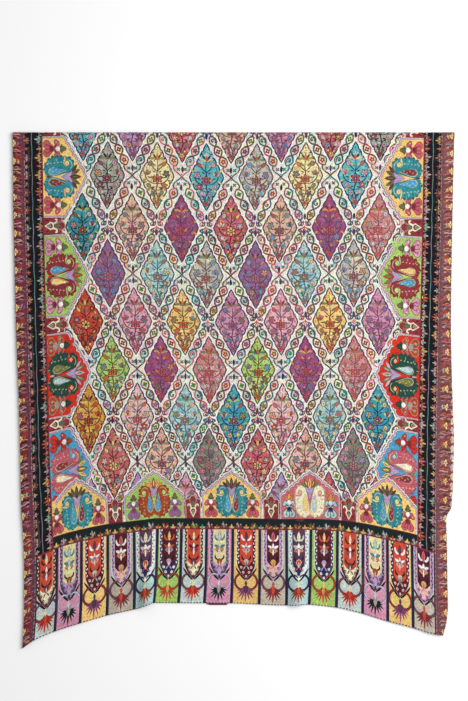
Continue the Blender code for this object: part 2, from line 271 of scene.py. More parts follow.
def share_table():
    """How far across the plan each cloth place lies, as the ridges use up width."""
    used = np.gradient(ridge_height(SHARE_U, SHARE_V[:, None]), SHARE_U, axis=1)
    width = np.sqrt(1 - np.minimum(used**2, 0.9))
    along = np.cumsum((width[:, 1:] + width[:, :-1]) / 2, axis=1)
    along = np.hstack([np.zeros((len(SHARE_V), 1)), along])
    return along / along[:, -1:]


SHARES = share_table()


def plan(u, v):
    """(x, y) of a cloth place. Ridges use up width, and the hem's sides reach further down."""
    u, v = np.broadcast_arrays(np.asarray(u, float), np.asarray(v, float))
    inside = np.clip(u, -DARK_MIDDLE, DARK_MIDDLE)
    i = np.clip((inside - SHARE_U[0]) / (SHARE_U[1] - SHARE_U[0]), 0, len(SHARE_U) - 1.001)
    j = np.clip((v - SHARE_V[0]) / (SHARE_V[1] - SHARE_V[0]), 0, len(SHARE_V) - 1.001)
    a, b = i.astype(int), j.astype(int)
    fa, fb = i - a, j - b
    low = SHARES[b, a] * (1 - fa) + SHARES[b, a + 1] * fa
    high = SHARES[b + 1, a] * (1 - fa) + SHARES[b + 1, a + 1] * fa
    share = low * (1 - fb) + high * fb
    left, right = edge("left_line", v), edge("right_line", v)
    x = left + (right - left) * share + (u - inside)
    power = DROP_POWER[0] - DROP_POWER_SLOPE * (abs(u) - DROP_SIDE_FROM) / (1000 * MM)
    power = np.clip(power, DROP_POWER[1], DROP_POWER[0])
    hem = curve_through(column(HEM_DROP, HEM_COLUMNS, "u"), column(HEM_DROP, HEM_COLUMNS, "drop"), u)
    return x, BACK_TO_FRONT - v - hem * np.clip(v / HEM_V, 0, 1.1) ** power


def front(u, v):
    """The upper half's face at (u, v), as points."""
    x, y = plan(u, v)
    return np.stack([x, y, front_top(u, v) + 0 * x], axis=-1)


def border_place(u, v):
    """The star borders' face at the flat cloth's (u, v): over the top, round the edge, below."""
    side = np.where(u < 0, -1, 1)
    turn_u = reach(side, v) - BEND
    on_face = np.minimum(abs(u), turn_u)
    past = np.clip(abs(u) - turn_u, 0, None)
    angle = np.clip(past / BEND, 0, np.pi)
    back = np.clip(past - np.pi * BEND, 0, None)
    top = front(side * (on_face - back), v)
    edge_x, edge_y = plan(side * turn_u, v)
    inner_x, inner_y = plan(side * (turn_u - MM), v)
    out = unit(np.stack([edge_x - inner_x, edge_y - inner_y], axis=-1))
    top[..., :2] += out * (BEND * np.sin(angle))[..., None]
    top[..., 2] -= BEND * (1 - np.cos(angle))
    return top


def fold_place(u, v):
    """The fold's face: flat from FOLD_V up to the bend, round it, and back along the floor."""
    seam = front(u, FOLD_V)
    bend = seam[..., 2] / 2
    run = FOLD_V - v
    flat = FOLD_V - FOLD_BEND
    share = np.clip(run / flat, 0, 1)
    angle = np.pi * np.clip((run - flat) / (np.pi * FOLD_BEND), 0, 1)
    back = np.clip((run - flat - np.pi * FOLD_BEND) / flat, 0, 1)
    x, y = plan(u, FOLD_V + (bend - FOLD_V) * (share - back))
    z = seam[..., 2] - bend * (1 - np.cos(angle))
    return np.stack([x, y + bend * np.sin(angle), z], axis=-1)


def normals(place, u, v, step=0.4 * MM):
    """The way that a face looks at each place."""
    across = place(u + step, v) - place(u - step, v)
    down = place(u, v - step) - place(u, v + step)
    return unit(np.cross(across, down))


# Colours of the print, as hexadecimal sRGB
INKS = {
    "ivory": "E6E2D3", "cream": "F0E6C4", "white": "F4F2EC", "mint": "C3CFC8", "pale_green": "CFE0CE",
    "pale_pink": "EBCFCB", "pale_lilac": "D3C6DA", "wash_pink": "E9BDBB", "wash_peach": "EBC3A4",
    "wash_mint": "A9D3C6", "teal": "2F8C96", "deep_teal": "1F5E66", "blue": "4A9FC4",
    "deep_blue": "2C6A9C", "light_blue": "B4CECC", "lime": "AACC6C", "leaf": "5E8C4A",
    "olive": "7C7A34", "dark_green": "1F4A3A", "pale_yellow": "E9DBA6", "gold": "F0C878",
    "ochre": "DBA248", "peach": "E1B399", "salmon": "CC6C6C", "rose": "C45F6A", "coral": "D04C34",
    "vermilion": "D0321E", "rust": "A8481F", "magenta": "9A4C78", "violet": "946A98",
    "orchid": "D594AE", "pink": "DEA2B2", "light_pink": "E3BDB8", "lilac": "B59AC2", "taupe": "A8A395",
    "grey": "BCB8AC", "dark_grey": "88867C", "maroon": "8C3038", "deep_maroon": "541A24",
    "dusk": "7B4353", "brown": "5A3A2C", "plum": "5A3A50", "navy": "1D2A55", "black": "10161F",
    "dark_pine": "142A25", "sea": "58B2B6", "moss": "6E6B46", "lagoon": "3F9CAA", "blush": "CE8582",
    "beige": "BFB4A2", "reverse": "4A3634",
}


def linear(code):
    """A hexadecimal sRGB colour as linear red, green and blue."""
    tone = np.array([int(code[i : i + 2], 16) for i in (0, 2, 4)]) / 255
    return np.where(tone <= 0.04045, tone / 12.92, ((tone + 0.055) / 1.055) ** 2.4)


INKS = {name: linear(code) for name, code in INKS.items()}

# Painting on the flat cloth. Each entry is a shape's points in mm and its colour
PRINT = []
CLOTH_ITSELF = np.eye(3)


def at(x, y, turn=0.0, size=1.0, flip=1, tall=None):
    """Sets a motif at (x, y), turned clockwise in degrees, sized, and mirrored with flip -1."""
    c, s = math.cos(math.radians(turn)), math.sin(math.radians(turn))
    tall = size if tall is None else tall
    return np.array([[c, -s, x], [s, c, y], [0, 0, 1]]) @ np.diag([size * flip, tall, 1])


def mirrored(where, side):
    """A motif's place as it is for side 1, and its mirror image's for side -1."""
    return where @ np.diag([side, 1, 1])


def tone_of(ink):
    """A colour by its name, or one that is mixed already."""
    return INKS[ink] if isinstance(ink, str) else ink


def blend(ink, other, share):
    """A colour with some of another in it."""
    return tone_of(ink) * (1 - share) + tone_of(other) * share


def any_of(names):
    """One name out of a few, by chance."""
    return chance.choice(names.split())


def paint(where, points, ink, vary=0.07):
    """Lays one shape of a colour on the cloth, a little lighter or darker by hand."""
    own = np.asarray(points, float) @ where[:2, :2].T + where[:2, 2]
    PRINT.append((own, tone_of(ink) * (1 + chance.uniform(-vary, vary))))


def on_cloth(points, ink, vary=0.07):
    """Lays a shape on the cloth by its own places there."""
    paint(CLOTH_ITSELF, points, ink, vary)


def outlined(where, points, ink, rim, by=0.9):
    """A shape with a thin outline of another colour."""
    paint(where, grown(points, by), rim)
    paint(where, points, ink)


def to_side(side, points):
    """Places given for the right side, on that side or the left one."""
    return [(side * x, y) for x, y in points]


def both_halves(points):
    """A mirrored outline, from its right half's places in order up to the middle line."""
    return [*points, *to_side(-1, points[-2::-1])]


def block(u, far_u, v, far_v):
    """The corners of a straight-sided stretch."""
    return [(u, v), (far_u, v), (far_u, far_v), (u, far_v)]


def dab(where, across, down, wide, tall, ink, vary, points=7):
    """A soft dab of a ground's own colour, somewhere on it."""
    x, y = chance.uniform(-across, across), chance.uniform(*down)
    paint(where, oval(x, y, chance.uniform(*wide), chance.uniform(*tall), points=points), ink, vary)


def nick(where, across, down, length, width, ink):
    """A short pen mark at any angle, somewhere on a ground."""
    x, y = chance.uniform(-across, across), chance.uniform(*down)
    paint(where, leaf(x, y, length, width, chance.uniform(0, 360)), ink)


def turned(x, y, turn, pairs):
    """Places given as (along, across), from (x, y) in the direction of turn, 0 being up."""
    c, s = math.cos(math.radians(turn)), math.sin(math.radians(turn))
    return [(x + a * s + b * c, y - a * c + b * s) for a, b in pairs]


def oval(x, y, wide, tall=None, turn=0, points=10):
    """An ellipse by its half sizes."""
    tall = wide if tall is None else tall
    steps = [2 * math.pi * i / points for i in range(points)]
    return turned(x, y, turn, [(tall * math.cos(t), wide * math.sin(t)) for t in steps])


LEAF_SIDE = ((0.2, 0.72), (0.48, 1.0), (0.78, 0.6))
DROP_SIDE = ((0.32, 0.5), (0.66, 1.0), (0.9, 0.78))


def leaf(x, y, length, width, turn=0, side=LEAF_SIDE):
    """A pointed leaf that grows from (x, y)."""
    one = [(a * length, b * width / 2) for a, b in side]
    return turned(x, y, turn, [(0, 0), *one, (length, 0), *[(a, -b) for a, b in one[::-1]]])


def drop(x, y, length, width, turn=0):
    """A tear: a point at (x, y) and a round far end."""
    return leaf(x, y, length, width, turn, DROP_SIDE)


def lobed(x, y, size, petals, depth=0.36, turn=0):
    """A ring of round petals."""
    pairs = []
    for i in range(petals * 4):
        t = 2 * math.pi * i / (petals * 4)
        r = size * (1 - depth + depth * abs(math.cos(t * petals / 2)) ** 0.7)
        pairs.append((r * math.cos(t), r * math.sin(t)))
    return turned(x, y, turn, pairs)


def smooth(points, steps=3):
    """A smooth run through a few places."""
    p = np.asarray(points, float)
    p = np.vstack([2 * p[0] - p[1], p, 2 * p[-1] - p[-2]])
    t = np.linspace(0, 1, steps, endpoint=False)[:, None]
    runs = []
    for a, b, c, d in zip(p, p[1:], p[2:], p[3:], strict=False):
        bend = (2 * a - 5 * b + 4 * c - d) * t**2 + (3 * b - a - 3 * c + d) * t**3
        runs.append((2 * b + (c - a) * t + bend) / 2)
    return np.vstack([*runs, p[-2:-1]])


def stroke(points, width, steps=3, ends=(0.45, 0.45)):
    """A pen stroke through a few places, thinner at its ends."""
    line = smooth(points, steps)
    ahead = unit(np.gradient(line, axis=0))
    side = np.stack([-ahead[:, 1], ahead[:, 0]], axis=1)
    share = np.linspace(0, 1, len(line))
    half = width / 2 * np.interp(share, (0, 0.25, 0.75, 1), (ends[0], 1, 1, ends[1]))
    return np.vstack([line + side * half[:, None], (line - side * half[:, None])[::-1]])


def spiral(x, y, size, turn, way=1, turns=1.2):
    """The places of a scroll that winds in on (x, y)."""
    count = int(7 * turns) + 2
    places = []
    for i in range(count):
        share = i / (count - 1)
        t = math.radians(turn) + way * 2 * math.pi * turns * share
        r = size * (1 - 0.78 * share)
        places.append((x + r * math.sin(t), y - r * math.cos(t)))
    return places


def grown(points, by):
    """A closed shape grown outwards by a distance."""
    p = np.asarray(points, float)
    after, before = np.roll(p, -1, axis=0), np.roll(p, 1, axis=0)
    ahead = after - before
    area = (p[:, 0] * after[:, 1] - after[:, 0] * p[:, 1]).sum()
    out = np.stack([ahead[:, 1], -ahead[:, 0]], axis=1) * (1 if area > 0 else -1)
    return p + by * out / np.maximum(np.linalg.norm(out, axis=1, keepdims=True), 1e-9)


def blossom(where, x, y, size, ink, heart, petals=5, turn=0, rim=None):
    """An open flower with a round heart."""
    if rim is not None:
        paint(where, lobed(x, y, size * 1.42, petals, 0.44, turn), rim)
    paint(where, lobed(x, y, size * 1.14, petals, 0.64, turn), ink)
    paint(where, oval(x, y, size * 0.34, points=6), heart)


# The lattice of diamonds

LATTICE_U = -3
LATTICE_PITCH = 110.3
DIAMOND = (38.0, 75.0)
# Scallops along a side, and each one's places: a share of it, and how far out
SCALLOPS = 5
SCALLOP = ((0.0, -1.4), (0.28, 0.9), (0.72, 0.9))

# v of each row's middle, and its colours from left to right
LATTICE = (
    (-11, "sea lilac rose peach orchid rose taupe"),
    (96, "taupe pale_yellow sea grey pale_yellow sea"),
    (211, "teal peach magenta rose peach magenta blush"),
    (313, "violet light_blue grey violet light_blue grey"),
    (419, "coral pink gold orchid pink gold orchid"),
    (526, "lime magenta blush lime magenta blush"),
    (632, "ochre light_pink light_blue lagoon light_pink light_blue lagoon"),
    (730, "salmon peach dark_grey rose peach dark_grey"),
    (827, "lilac lilac pink lilac lilac rose rose"),
)

# The cloth's own pull on its lattice: v, how far across each row lies, and how far it sags
# in its middle and at its sides
PULL = (
    (-11, 0, 5, 0), (96, -1, 6, -1), (211, -2.5, 2.5, -1), (313, -2.5, 6, 0), (419, 1, 3.5, -0.5),
    (526, 4.2, 1.5, -3), (632, 2.6, 2.5, -5), (730, 1.4, 2.5, -2), (827, -1.5, 0, 0),
)

# For each ground: two petal colours, leaves, stems, the patches' colour and the outline
SPRIG_INKS = {
    "sea": "vermilion pink gold navy light_blue navy",
    "teal": "rust light_pink lime black blue deep_maroon",
    "lagoon": "rust gold lime navy blue plum",
    "light_blue": "rust gold leaf deep_teal blue plum",
    "lime": "vermilion deep_blue deep_teal brown pale_yellow brown",
    "grey": "rust blue leaf plum cream plum",
    "taupe": "maroon pink leaf black light_blue plum",
    "dark_grey": "salmon orchid leaf plum brown plum",
    "pale_yellow": "coral deep_teal olive brown gold brown",
    "gold": "vermilion dusk deep_teal brown pale_yellow brown",
    "ochre": "maroon vermilion olive deep_maroon gold deep_maroon",
    "peach": "maroon teal leaf plum light_pink deep_maroon",
    "pink": "vermilion deep_teal olive plum light_pink plum",
    "light_pink": "vermilion gold leaf plum pink navy",
    "orchid": "magenta deep_blue olive plum magenta navy",
    "rose": "gold light_blue olive deep_maroon pink plum",
    "salmon": "gold light_pink leaf deep_maroon peach deep_maroon",
    "blush": "coral light_blue olive dusk light_pink plum",
    "coral": "gold deep_maroon olive deep_maroon salmon deep_maroon",
    "magenta": "coral violet ochre plum violet plum",
    "violet": "salmon blue moss plum magenta plum",
    "lilac": "maroon rose olive plum orchid plum",
}


def diamond_outline():
    """A diamond with scalloped sides and drawn-out points."""
    corners = np.array([(0, -DIAMOND[1]), (DIAMOND[0], 0), (0, DIAMOND[1]), (-DIAMOND[0], 0)], float)
    points = []
    for i, (a, b) in enumerate(zip(corners, np.roll(corners, -1, axis=0), strict=True)):
        out = np.array([b[1] - a[1], a[0] - b[0]]) / np.linalg.norm(b - a)
        for k in range(SCALLOPS):
            for share, rise in SCALLOP:
                t = (k + share) / SCALLOPS
                along = t if i % 2 == 0 else 1 - t
                rise_here = rise * eased(along / 0.3) * eased((1.04 - along) / 0.2)
                points.append(a + (b - a) * t + out * rise_here)
    return np.array(points)


DIAMOND_POINTS = diamond_outline()


def mixed(ink):
    """Now and then another colour in place of a flower's own."""
    other = any_of("deep_teal blue rust olive violet rose maroon ochre")
    return blend(ink, other, chance.choice((0, 0.3, 0.6, 0.8)))


def tulip(where, x, y, size, ink, second, rim, turn):
    """A side-on flower: two turned-out petals and a middle one."""
    for way in (-1, 1):
        outlined(where, leaf(x, y, size, size * 0.42, turn + way * 46), second, rim, 0.7)
    outlined(where, leaf(x, y, size * 1.1, size * 0.48, turn), ink, rim, 0.7)
    paint(where, leaf(x, y, size * 0.6, size * 0.18, turn), rim)


# The plant's leaves and its short dark strokes: x, y, length and turn
SPRIG_LEAVES = (
    (25, 8, 12, 125), (4, -22, 11, 50), (5, 9, 12, 46), (2, 39, 11, 108), (1.5, 58, 10, 44),
    (9, 24, 9, 170), (30, -10, 9, 15), (8, -38, 9, 75), (16, 28, 8, 130),
)
SPRIG_STROKES = (
    (12, 4, 10, 80), (13, 46, 8, 60), (16, -36, 8, 20), (3, -8, 9, 62), (4, 24, 9, 118),
    (18, -13, 8, 140), (25, 15, 8, 100), (4, 64, 7, 60), (7, -52, 7, 100), (3, 47, 8, 35),
)


# The plant's trunk, and its three upper forks on the right: places, width and steps
SPRIG_TRUNK = ((1, 66), (3, 50), (-2, 34), (1, 17), (-1, 0), (2, -20), (0, -38))
SPRIG_FORKS = (
    (((0, -10), (7, -17), (14, -25)), 2.3, 3),
    (((0, 17), (11, 16), (21, 10), (26, 0), (22, -8), (17, -4)), 2.4, 2),
    (((0, 32), (9, 30), (17, 20)), 2.0, 2),
)


def sprig(where, petal, second, leafy, stem):
    """The plant in a diamond: a stem with forks, side flowers, buds and leaves."""
    for x, y, length, turn in SPRIG_LEAVES:
        for side in (-1, 1):
            outlined(where, leaf(side * x, y, length, 4.2, side * turn), leafy, stem, 0.6)
    paint(where, stroke(SPRIG_TRUNK, 2.5, 2), stem)
    for side in (-1, 1):
        for points, width, steps in SPRIG_FORKS:
            paint(where, stroke(to_side(side, points), width, steps), stem)
        paint(where, stroke([(1, 52), (side * 7, 46), (side * 11, 37)], 2.0, 2), stem)
        for x, y, length, turn in SPRIG_STROKES:
            paint(where, leaf(side * x, y, length, 2.9, side * turn), stem)
        paint(where, stroke(to_side(side, ((0, -36), (5, -41), (10, -49))), 2.0, 2), stem)
    for turn in (-58, -29, 0, 29, 58):
        paint(where, leaf(0, -35, 19 - abs(turn) / 12, 4.4, turn), stem if turn % 58 else leafy)
    paint(where, leaf(0, -36, 12, 6.0), petal)
    outlined(where, oval(-15, -28, 4.6, 5.6, 20, 8), second, stem, 1.1)
    paint(where, leaf(-15, -25, 6, 2.4), petal)
    outlined(where, leaf(12, -22, 13, 7, 36), petal, stem, 1.0)
    tulip(where, -21, -2, 12, mixed(petal), second, stem, -8)
    blossom(where, 21, -5, 6.4, mixed(second), petal, 5, 40, stem)
    blossom(where, 1, 7, 8.4, petal, leafy, 6, 0, stem)
    paint(where, lobed(1, 7, 4.6, 4, 0.5, 45), stem)
    paint(where, oval(1, 7, 1.7, points=6), second)
    blossom(where, 16.5, 21, 6.0, mixed(petal), second, 5, 0, stem)
    outlined(where, drop(-12, 28, 14, 8.4, -42), second, stem, 1.0)
    paint(where, leaf(-14, 26, 8, 2.8, -42), petal)
    blossom(where, -8, 39, 5.2, mixed(second), stem, 5, 30, stem)
    outlined(where, oval(11, 37, 3.8, 4.6, 0, 8), second, stem, 1.0)
    outlined(where, oval(-5.5, 51, 2.6, points=7), petal, stem)
    outlined(where, oval(7, 53, 2.4, points=7), second, stem)
    blossom(where, 1, 60, 5.2, petal, stem, 5, 36, stem)


# Small specks between the sprigs' parts: x, y and turn
SPECKS = (
    (-9, -50, 20), (9, -47, -30), (-27, 14, 60), (29, 14, -70), (-8, -2, 80), (10, -4, -80),
    (-24, -16, 35), (25, -18, -35), (-14, 12, 10), (13, 32, -20), (-13, 42, 50), (0, -60, 0),
    (8, 50, -45), (-33, 2, 0), (33, 3, 0), (-7, -32, 15), (8, 16, 100), (-2, 24, 70),
)


def in_diamond(across, down):
    """A place somewhere in a diamond: by a share of its width there, and in mm up and down."""
    y = chance.uniform(-down, down)
    return chance.uniform(-across, across) * DIAMOND[0] * (1 - abs(y) / DIAMOND[1]), y


def diamond(where, ground):
    """One diamond with its outline, its uneven ground and its plant."""
    petal, second, leafy, stem, patch, rim = SPRIG_INKS[ground].split()
    for y in (-1, 1):
        paint(where, leaf(0, y * 83, 16, 6.5, 90 + 90 * y), rim)
        for side in (-1, 1):
            paint(where, leaf(0, y * 76, 8, 2.8, (90 - 90 * y) + side * 55), rim)
    paint(where, grown(DIAMOND_POINTS, 3.9), "white", 0.03)
    paint(where, grown(DIAMOND_POINTS, 1.6), blend(rim, "black", 0.25))
    paint(where, grown(DIAMOND_POINTS, -1.3), ground)
    for _ in range(9):
        x, y = in_diamond(0.75, 52)
        shape = oval(x, y, chance.uniform(4, 9), chance.uniform(5, 12), chance.uniform(0, 90), 7)
        paint(where, shape, blend(ground, patch, 0.45), 0.12)
    for _ in range(44):
        x, y = in_diamond(0.86, 66)
        shape = leaf(x, y, chance.uniform(4, 7), 2.2, chance.uniform(0, 360))
        ink = chance.choice((patch, petal, second, stem, stem, rim))
        paint(where, shape, blend(ink, ground, 0.5), 0.12)
    for x, y, turn in SPECKS:
        ink = blend(chance.choice((petal, leafy, stem, stem, second)), ground, 0.25)
        shape = leaf(x, y, chance.uniform(4.5, 7.5), 2.6, turn + chance.uniform(-30, 30))
        paint(where, shape, ink)
    softer = (blend(ink, ground, share) for ink, share in ((petal, 0.15), (second, 0.22), (leafy, 0.2)))
    sprig(where, *softer, stem)


# The vines on the ivory bands between the diamonds

VINE = ("plum", "dusk", "deep_teal", "brown", "rose")
# The part of a band that a chain takes up, its lobes, and how far out each swings
CHAIN_FROM, CHAIN_TO, LOBES = 0.22, 0.86, 3
CHAIN_SWING = 9.6


def chain(where, end, inks, hearts):
    """Two wavy stems that cross between small flowers, along a band."""
    end = np.array(end, float)
    share = np.linspace(0, 1, 22)
    middle = end * (CHAIN_FROM + (CHAIN_TO - CHAIN_FROM) * share)[:, None]
    side = np.array([-end[1], end[0]]) / np.linalg.norm(end)
    swing = side * (CHAIN_SWING * np.sin(np.pi * LOBES * share) * (1 - 0.25 * share))[:, None]
    turn = math.degrees(math.atan2(end[0], -end[1]))
    along = [end * (CHAIN_FROM + (CHAIN_TO - CHAIN_FROM) * (i / 2) / LOBES) for i in range(2 * LOBES + 1)]
    for (x, y), (_, _, _, wash) in zip(along[1::2], hearts, strict=True):
        paint(where, oval(x, y, 6.6, 10.5, turn, 10), wash)
    for way, ink in ((1, inks[0]), (-1, inks[1])):
        paint(where, stroke(middle + way * swing, 3.4, 2, (0.8, 0.8)), ink)
    for (x, y), crossing, (petal, heart, petals, _) in zip(along[1::2], along[2::2], hearts, strict=True):
        if petals:
            blossom(where, x, y, 4.4, petal, heart, petals, turn, blend(petal, "black", 0.55))
        else:
            curl = spiral(x, y, 6.2, turn + 200, 1, 1.1)
            paint(where, stroke(curl, 2.8, 2, (0.9, 0.4)), inks[0])
            paint(where, oval(x, y, 2.0, points=6), petal)
        for way in (-1, 1):
            paint(where, leaf(*crossing, 8.5, 3.2, turn + 180 + way * 62), blend(petal, "plum", 0.3))


# A vine's arm out of a crossing, in mm, and its tip, in shares of the way to its end
VINE_ARM = ((0, 0), (5.5, 5.5), (11, 9.5), (16, 14), (18.5, 20), (16.5, 26), (12, 27))
VINE_TIP = ((0.8, 0.83), (0.87, 0.9), (0.85, 0.96), (0.76, 0.95), (0.76, 0.91))


def vine(where, end, inks, hearts, upward):
    """From a crossing to the scrolls: an arm that hooks back, then a chain of flowers."""
    way = -1 if upward else 1
    paint(where, oval(13, way * 19.5, 4.0, 6.0, -way * 20, 8), hearts[0][3])
    paint(where, stroke([(x, way * y) for x, y in VINE_ARM], 3.2, 3, (1.0, 0.8)), inks[0])
    blossom(where, 7.4, way * 16.5, 4.2, "deep_teal", "teal", 4, 45)
    paint(where, leaf(14, way * 9, 7, 2.6, 90 + way * 100), "taupe")
    chain(where, end, inks, hearts)
    x, y = end
    paint(where, stroke([(x * a, y * b) for a, b in VINE_TIP], 3.2, 2, (1.0, 0.5)), inks[1])
    paint(where, leaf(x * 0.95, y * 0.86, 9, 4.2, 0 if upward else 180), "violet")


# Each lobe of a chain from the crossing on: petals, heart, how many petals (0 a scroll), and wash
DOWN_HEARTS = {
    -1: (
        ("rust", "gold", 6, "wash_pink"),
        ("violet", "rose", 0, "cream"),
        ("olive", "vermilion", 5, "wash_peach"),
    ),
    1: (
        ("leaf", "dark_green", 4, "cream"),
        ("maroon", "gold", 0, "wash_mint"),
        ("violet", "rose", 5, "wash_pink"),
    ),
}
UP_HEARTS = {
    -1: (
        ("rust", "pale_yellow", 5, "wash_peach"),
        ("maroon", "gold", 4, "cream"),
        ("olive", "dusk", 0, "pale_green"),
    ),
    1: (
        ("deep_teal", "teal", 0, "wash_mint"),
        ("dusk", "dark_grey", 5, "wash_pink"),
        ("leaf", "gold", 4, "cream"),
    ),
}


def scrolls(where, ink):
    """Four small scrolls round a red cross."""
    for sx in (-1, 1):
        for sy in (-1, 1):
            turn = 90 * sx if sy < 0 else -90 * sx
            places = spiral(sx * 7.2, sy * 7.4, 6.2, turn, sx * sy, 1.15)
            paint(where, stroke(places, 2.7, 2), ink)
    for turn in (0, 90, 180, 270):
        paint(where, leaf(0, 0, 5.5, 2.8, turn), "vermilion")


def pull(points):
    """Where the cloth's own pull moves places of the lattice to."""
    v, across, middle, sides = (np.array(row, float) for row in zip(*PULL, strict=True))
    share = (points[:, 0] / 330) ** 2
    sag = np.interp(points[:, 1], v, middle) * np.exp(-5 * share) + np.interp(points[:, 1], v, sides) * share
    return points + np.stack([np.interp(points[:, 1], v, across), sag], axis=1)


def lattice_u(k):
    """u of the diamond that stands this many pitches from the middle one."""
    return LATTICE_U + k * LATTICE_PITCH


def lattice():
    """All of the field's ivory ground, bands and diamonds."""
    first = len(PRINT)
    rows = [(v, inks.split()) for v, inks in LATTICE]
    for v, inks in rows:
        for k in range(len(inks) + 1):
            tint(lattice_u(k - len(inks) / 2), v)
    for row in range(1, len(rows) - 1, 2):
        (above, _), (v, _), (below, _) = rows[row - 1 : row + 2]
        for k in range(7):
            line = VINE[k % 3], VINE[(k + row) % 4 + 1]
            where = at(lattice_u(k - 3), v)
            for side in (-1, 1):
                on_side = mirrored(where, side)
                vine(on_side, (LATTICE_PITCH / 2, below - v), line, DOWN_HEARTS[side], False)
                vine(on_side, (LATTICE_PITCH / 2, above - v), line[::-1], UP_HEARTS[side], True)
            for y in (-5.5, 5.5):
                paint(where, oval(0, y, 1.7, points=6), "deep_teal")
    for v, _ in rows[::2]:
        for k in range(6):
            scrolls(at(lattice_u(k - 2.5), v), VINE[k % 3])
    for v, inks in rows:
        for k, ink in enumerate(inks):
            u = lattice_u(k - (len(inks) - 1) / 2)
            diamond(at(u, v, chance.uniform(-1, 1), flip=1 if k % 2 else -1), ink)
    PRINT[first:] = [(pull(points), ink) for points, ink in PRINT[first:]]


def tint(u, v):
    """Pale washes of colour on the ivory bands."""
    for _ in range(9):
        x, y = u + chance.uniform(-50, 50), v + chance.uniform(-50, 50)
        ink = any_of("pale_green pale_pink pale_lilac cream white")
        on_cloth(oval(x, y, chance.uniform(5, 12), chance.uniform(5, 12), points=7), ink)


# The arches round the field: a pavilion with a pair of paisleys, a fan and two flowers

ARCH_HALF, ARCH_SHOULDER, ARCH_TIP = 67.5, 44.0, 97.0
ARCH_SCALLOPS = 6
ARCH_SCALLOP = ((0.3, 3.4), (0.7, 3.4), (1.0, 0.4))


def arch_outline():
    """Straight sides, scalloped shoulders and a point."""
    foot, shoulder = np.array([ARCH_HALF, 0.0]), np.array([ARCH_HALF, -ARCH_SHOULDER])
    slope = np.array([5.0, 6.0 - ARCH_TIP]) - shoulder
    out = np.array([-slope[1], slope[0]]) / np.linalg.norm(slope)
    side = [foot, shoulder]
    for k in range(ARCH_SCALLOPS):
        for share, rise in ARCH_SCALLOP:
            side.append(shoulder + slope * ((k + share) / ARCH_SCALLOPS) + out * rise)
    return np.array(both_halves([*side, (0, -ARCH_TIP)]))


ARCH = arch_outline()
PAISLEY = (
    (3, -8), (11, -4), (21, -6), (29, -13), (33, -24), (34, -38), (34, -50), (33, -60), (28, -68),
    (20, -71), (13, -68), (9, -60), (6, -46), (3, -32), (1, -18),
)
# The short leaves round its outer side: x, y and turn
FRINGE = (
    (25, -66, 30), (30, -60, 52), (31, -51, 78), (32, -42, 88), (32, -33, 96), (31, -24, 108),
    (27, -16, 124), (20, -10, 146), (12, -8, 172),
)
# Each arch: ground, paisley, its scallops, teardrop left and right, flowers, their hearts,
# buds, and the fan's three leaves
ARCH_INKS = {
    "yellow": "gold teal deep_teal blue maroon rose maroon moss brown moss brown",
    "lime": "lime maroon rust blue gold orchid maroon moss vermilion leaf salmon",
    "lime_foot": "lime rust maroon blue blue violet magenta moss rust gold ochre",
    "vermilion": "vermilion dark_green deep_teal olive light_blue rust grey dark_green pink leaf pink",
    "blue": "blue rose salmon maroon cream vermilion maroon rust olive gold leaf",
    "salmon": "salmon cream rose gold light_blue light_blue navy ochre gold rust leaf",
}


def paisley(where, body, scallop, tear, ground):
    """One curled paisley on the right of the middle line."""
    dark = blend(body, "black", 0.45)
    for x, y, turn in FRINGE:
        paint(where, leaf(x, y, 7.0, 8.5, turn), dark, 0.12)
    for x, y, turn in FRINGE:
        paint(where, leaf(x, y, 5.4, 6.6, turn), scallop, 0.12)
    outlined(where, PAISLEY, body, dark, 1.1)
    for i, (x, y, turn) in enumerate(FRINGE[2:]):
        paint(where, leaf(x * 0.8, y, 7.5, 2.2, turn), scallop if i % 2 else blend(body, "cream", 0.35))
        paint(where, leaf(x * 0.66 + 1, y - 2, 6.5, 1.8, turn + 8), dark)
    paint(where, stroke([(37, -52), (30, -50), (23, -49), (19, -54)], 2.6, 2, (0.8, 0.8)), ground)
    paint(where, oval(23.5, -56, 5.6, 6.0), dark)
    paint(where, oval(23.5, -56, 4.6, 5.0), ground)
    blossom(where, 23.5, -56, 3.2, "pale_yellow", "leaf", 4)
    outlined(where, drop(11.5, -56, 44, 15.5, 184), blend(body, "cream", 0.45), dark, 1.0)
    outlined(where, drop(11.8, -53, 38, 11.0, 184), tear, dark, 0.8)
    for i in range(5):
        paint(where, leaf(10.5, -14 - 7 * i, 6.5, 2.0, 30 - 60 * (i % 2)), blend(tear, "cream", 0.35))
        paint(where, oval(25.5 - 0.8 * i, -43 + 8 * i, 1.3, 2.0, points=6), blend(body, "cream", 0.5))
    paint(where, stroke([(14, -63), (19, -67), (26, -65), (30, -58)], 1.8, 2), blend(body, "cream", 0.5))


# A flower beside the paisleys: its middle, and its right half's drops by x past that, y,
# length, width and turn
ARCH_FLOWER_X = 49
ARCH_FLOWER = (
    (9.5, -37, 10, 7.5, 158), (0, -27, 16, 9.5, 48), (0, -27, 26, 15, 157),
)


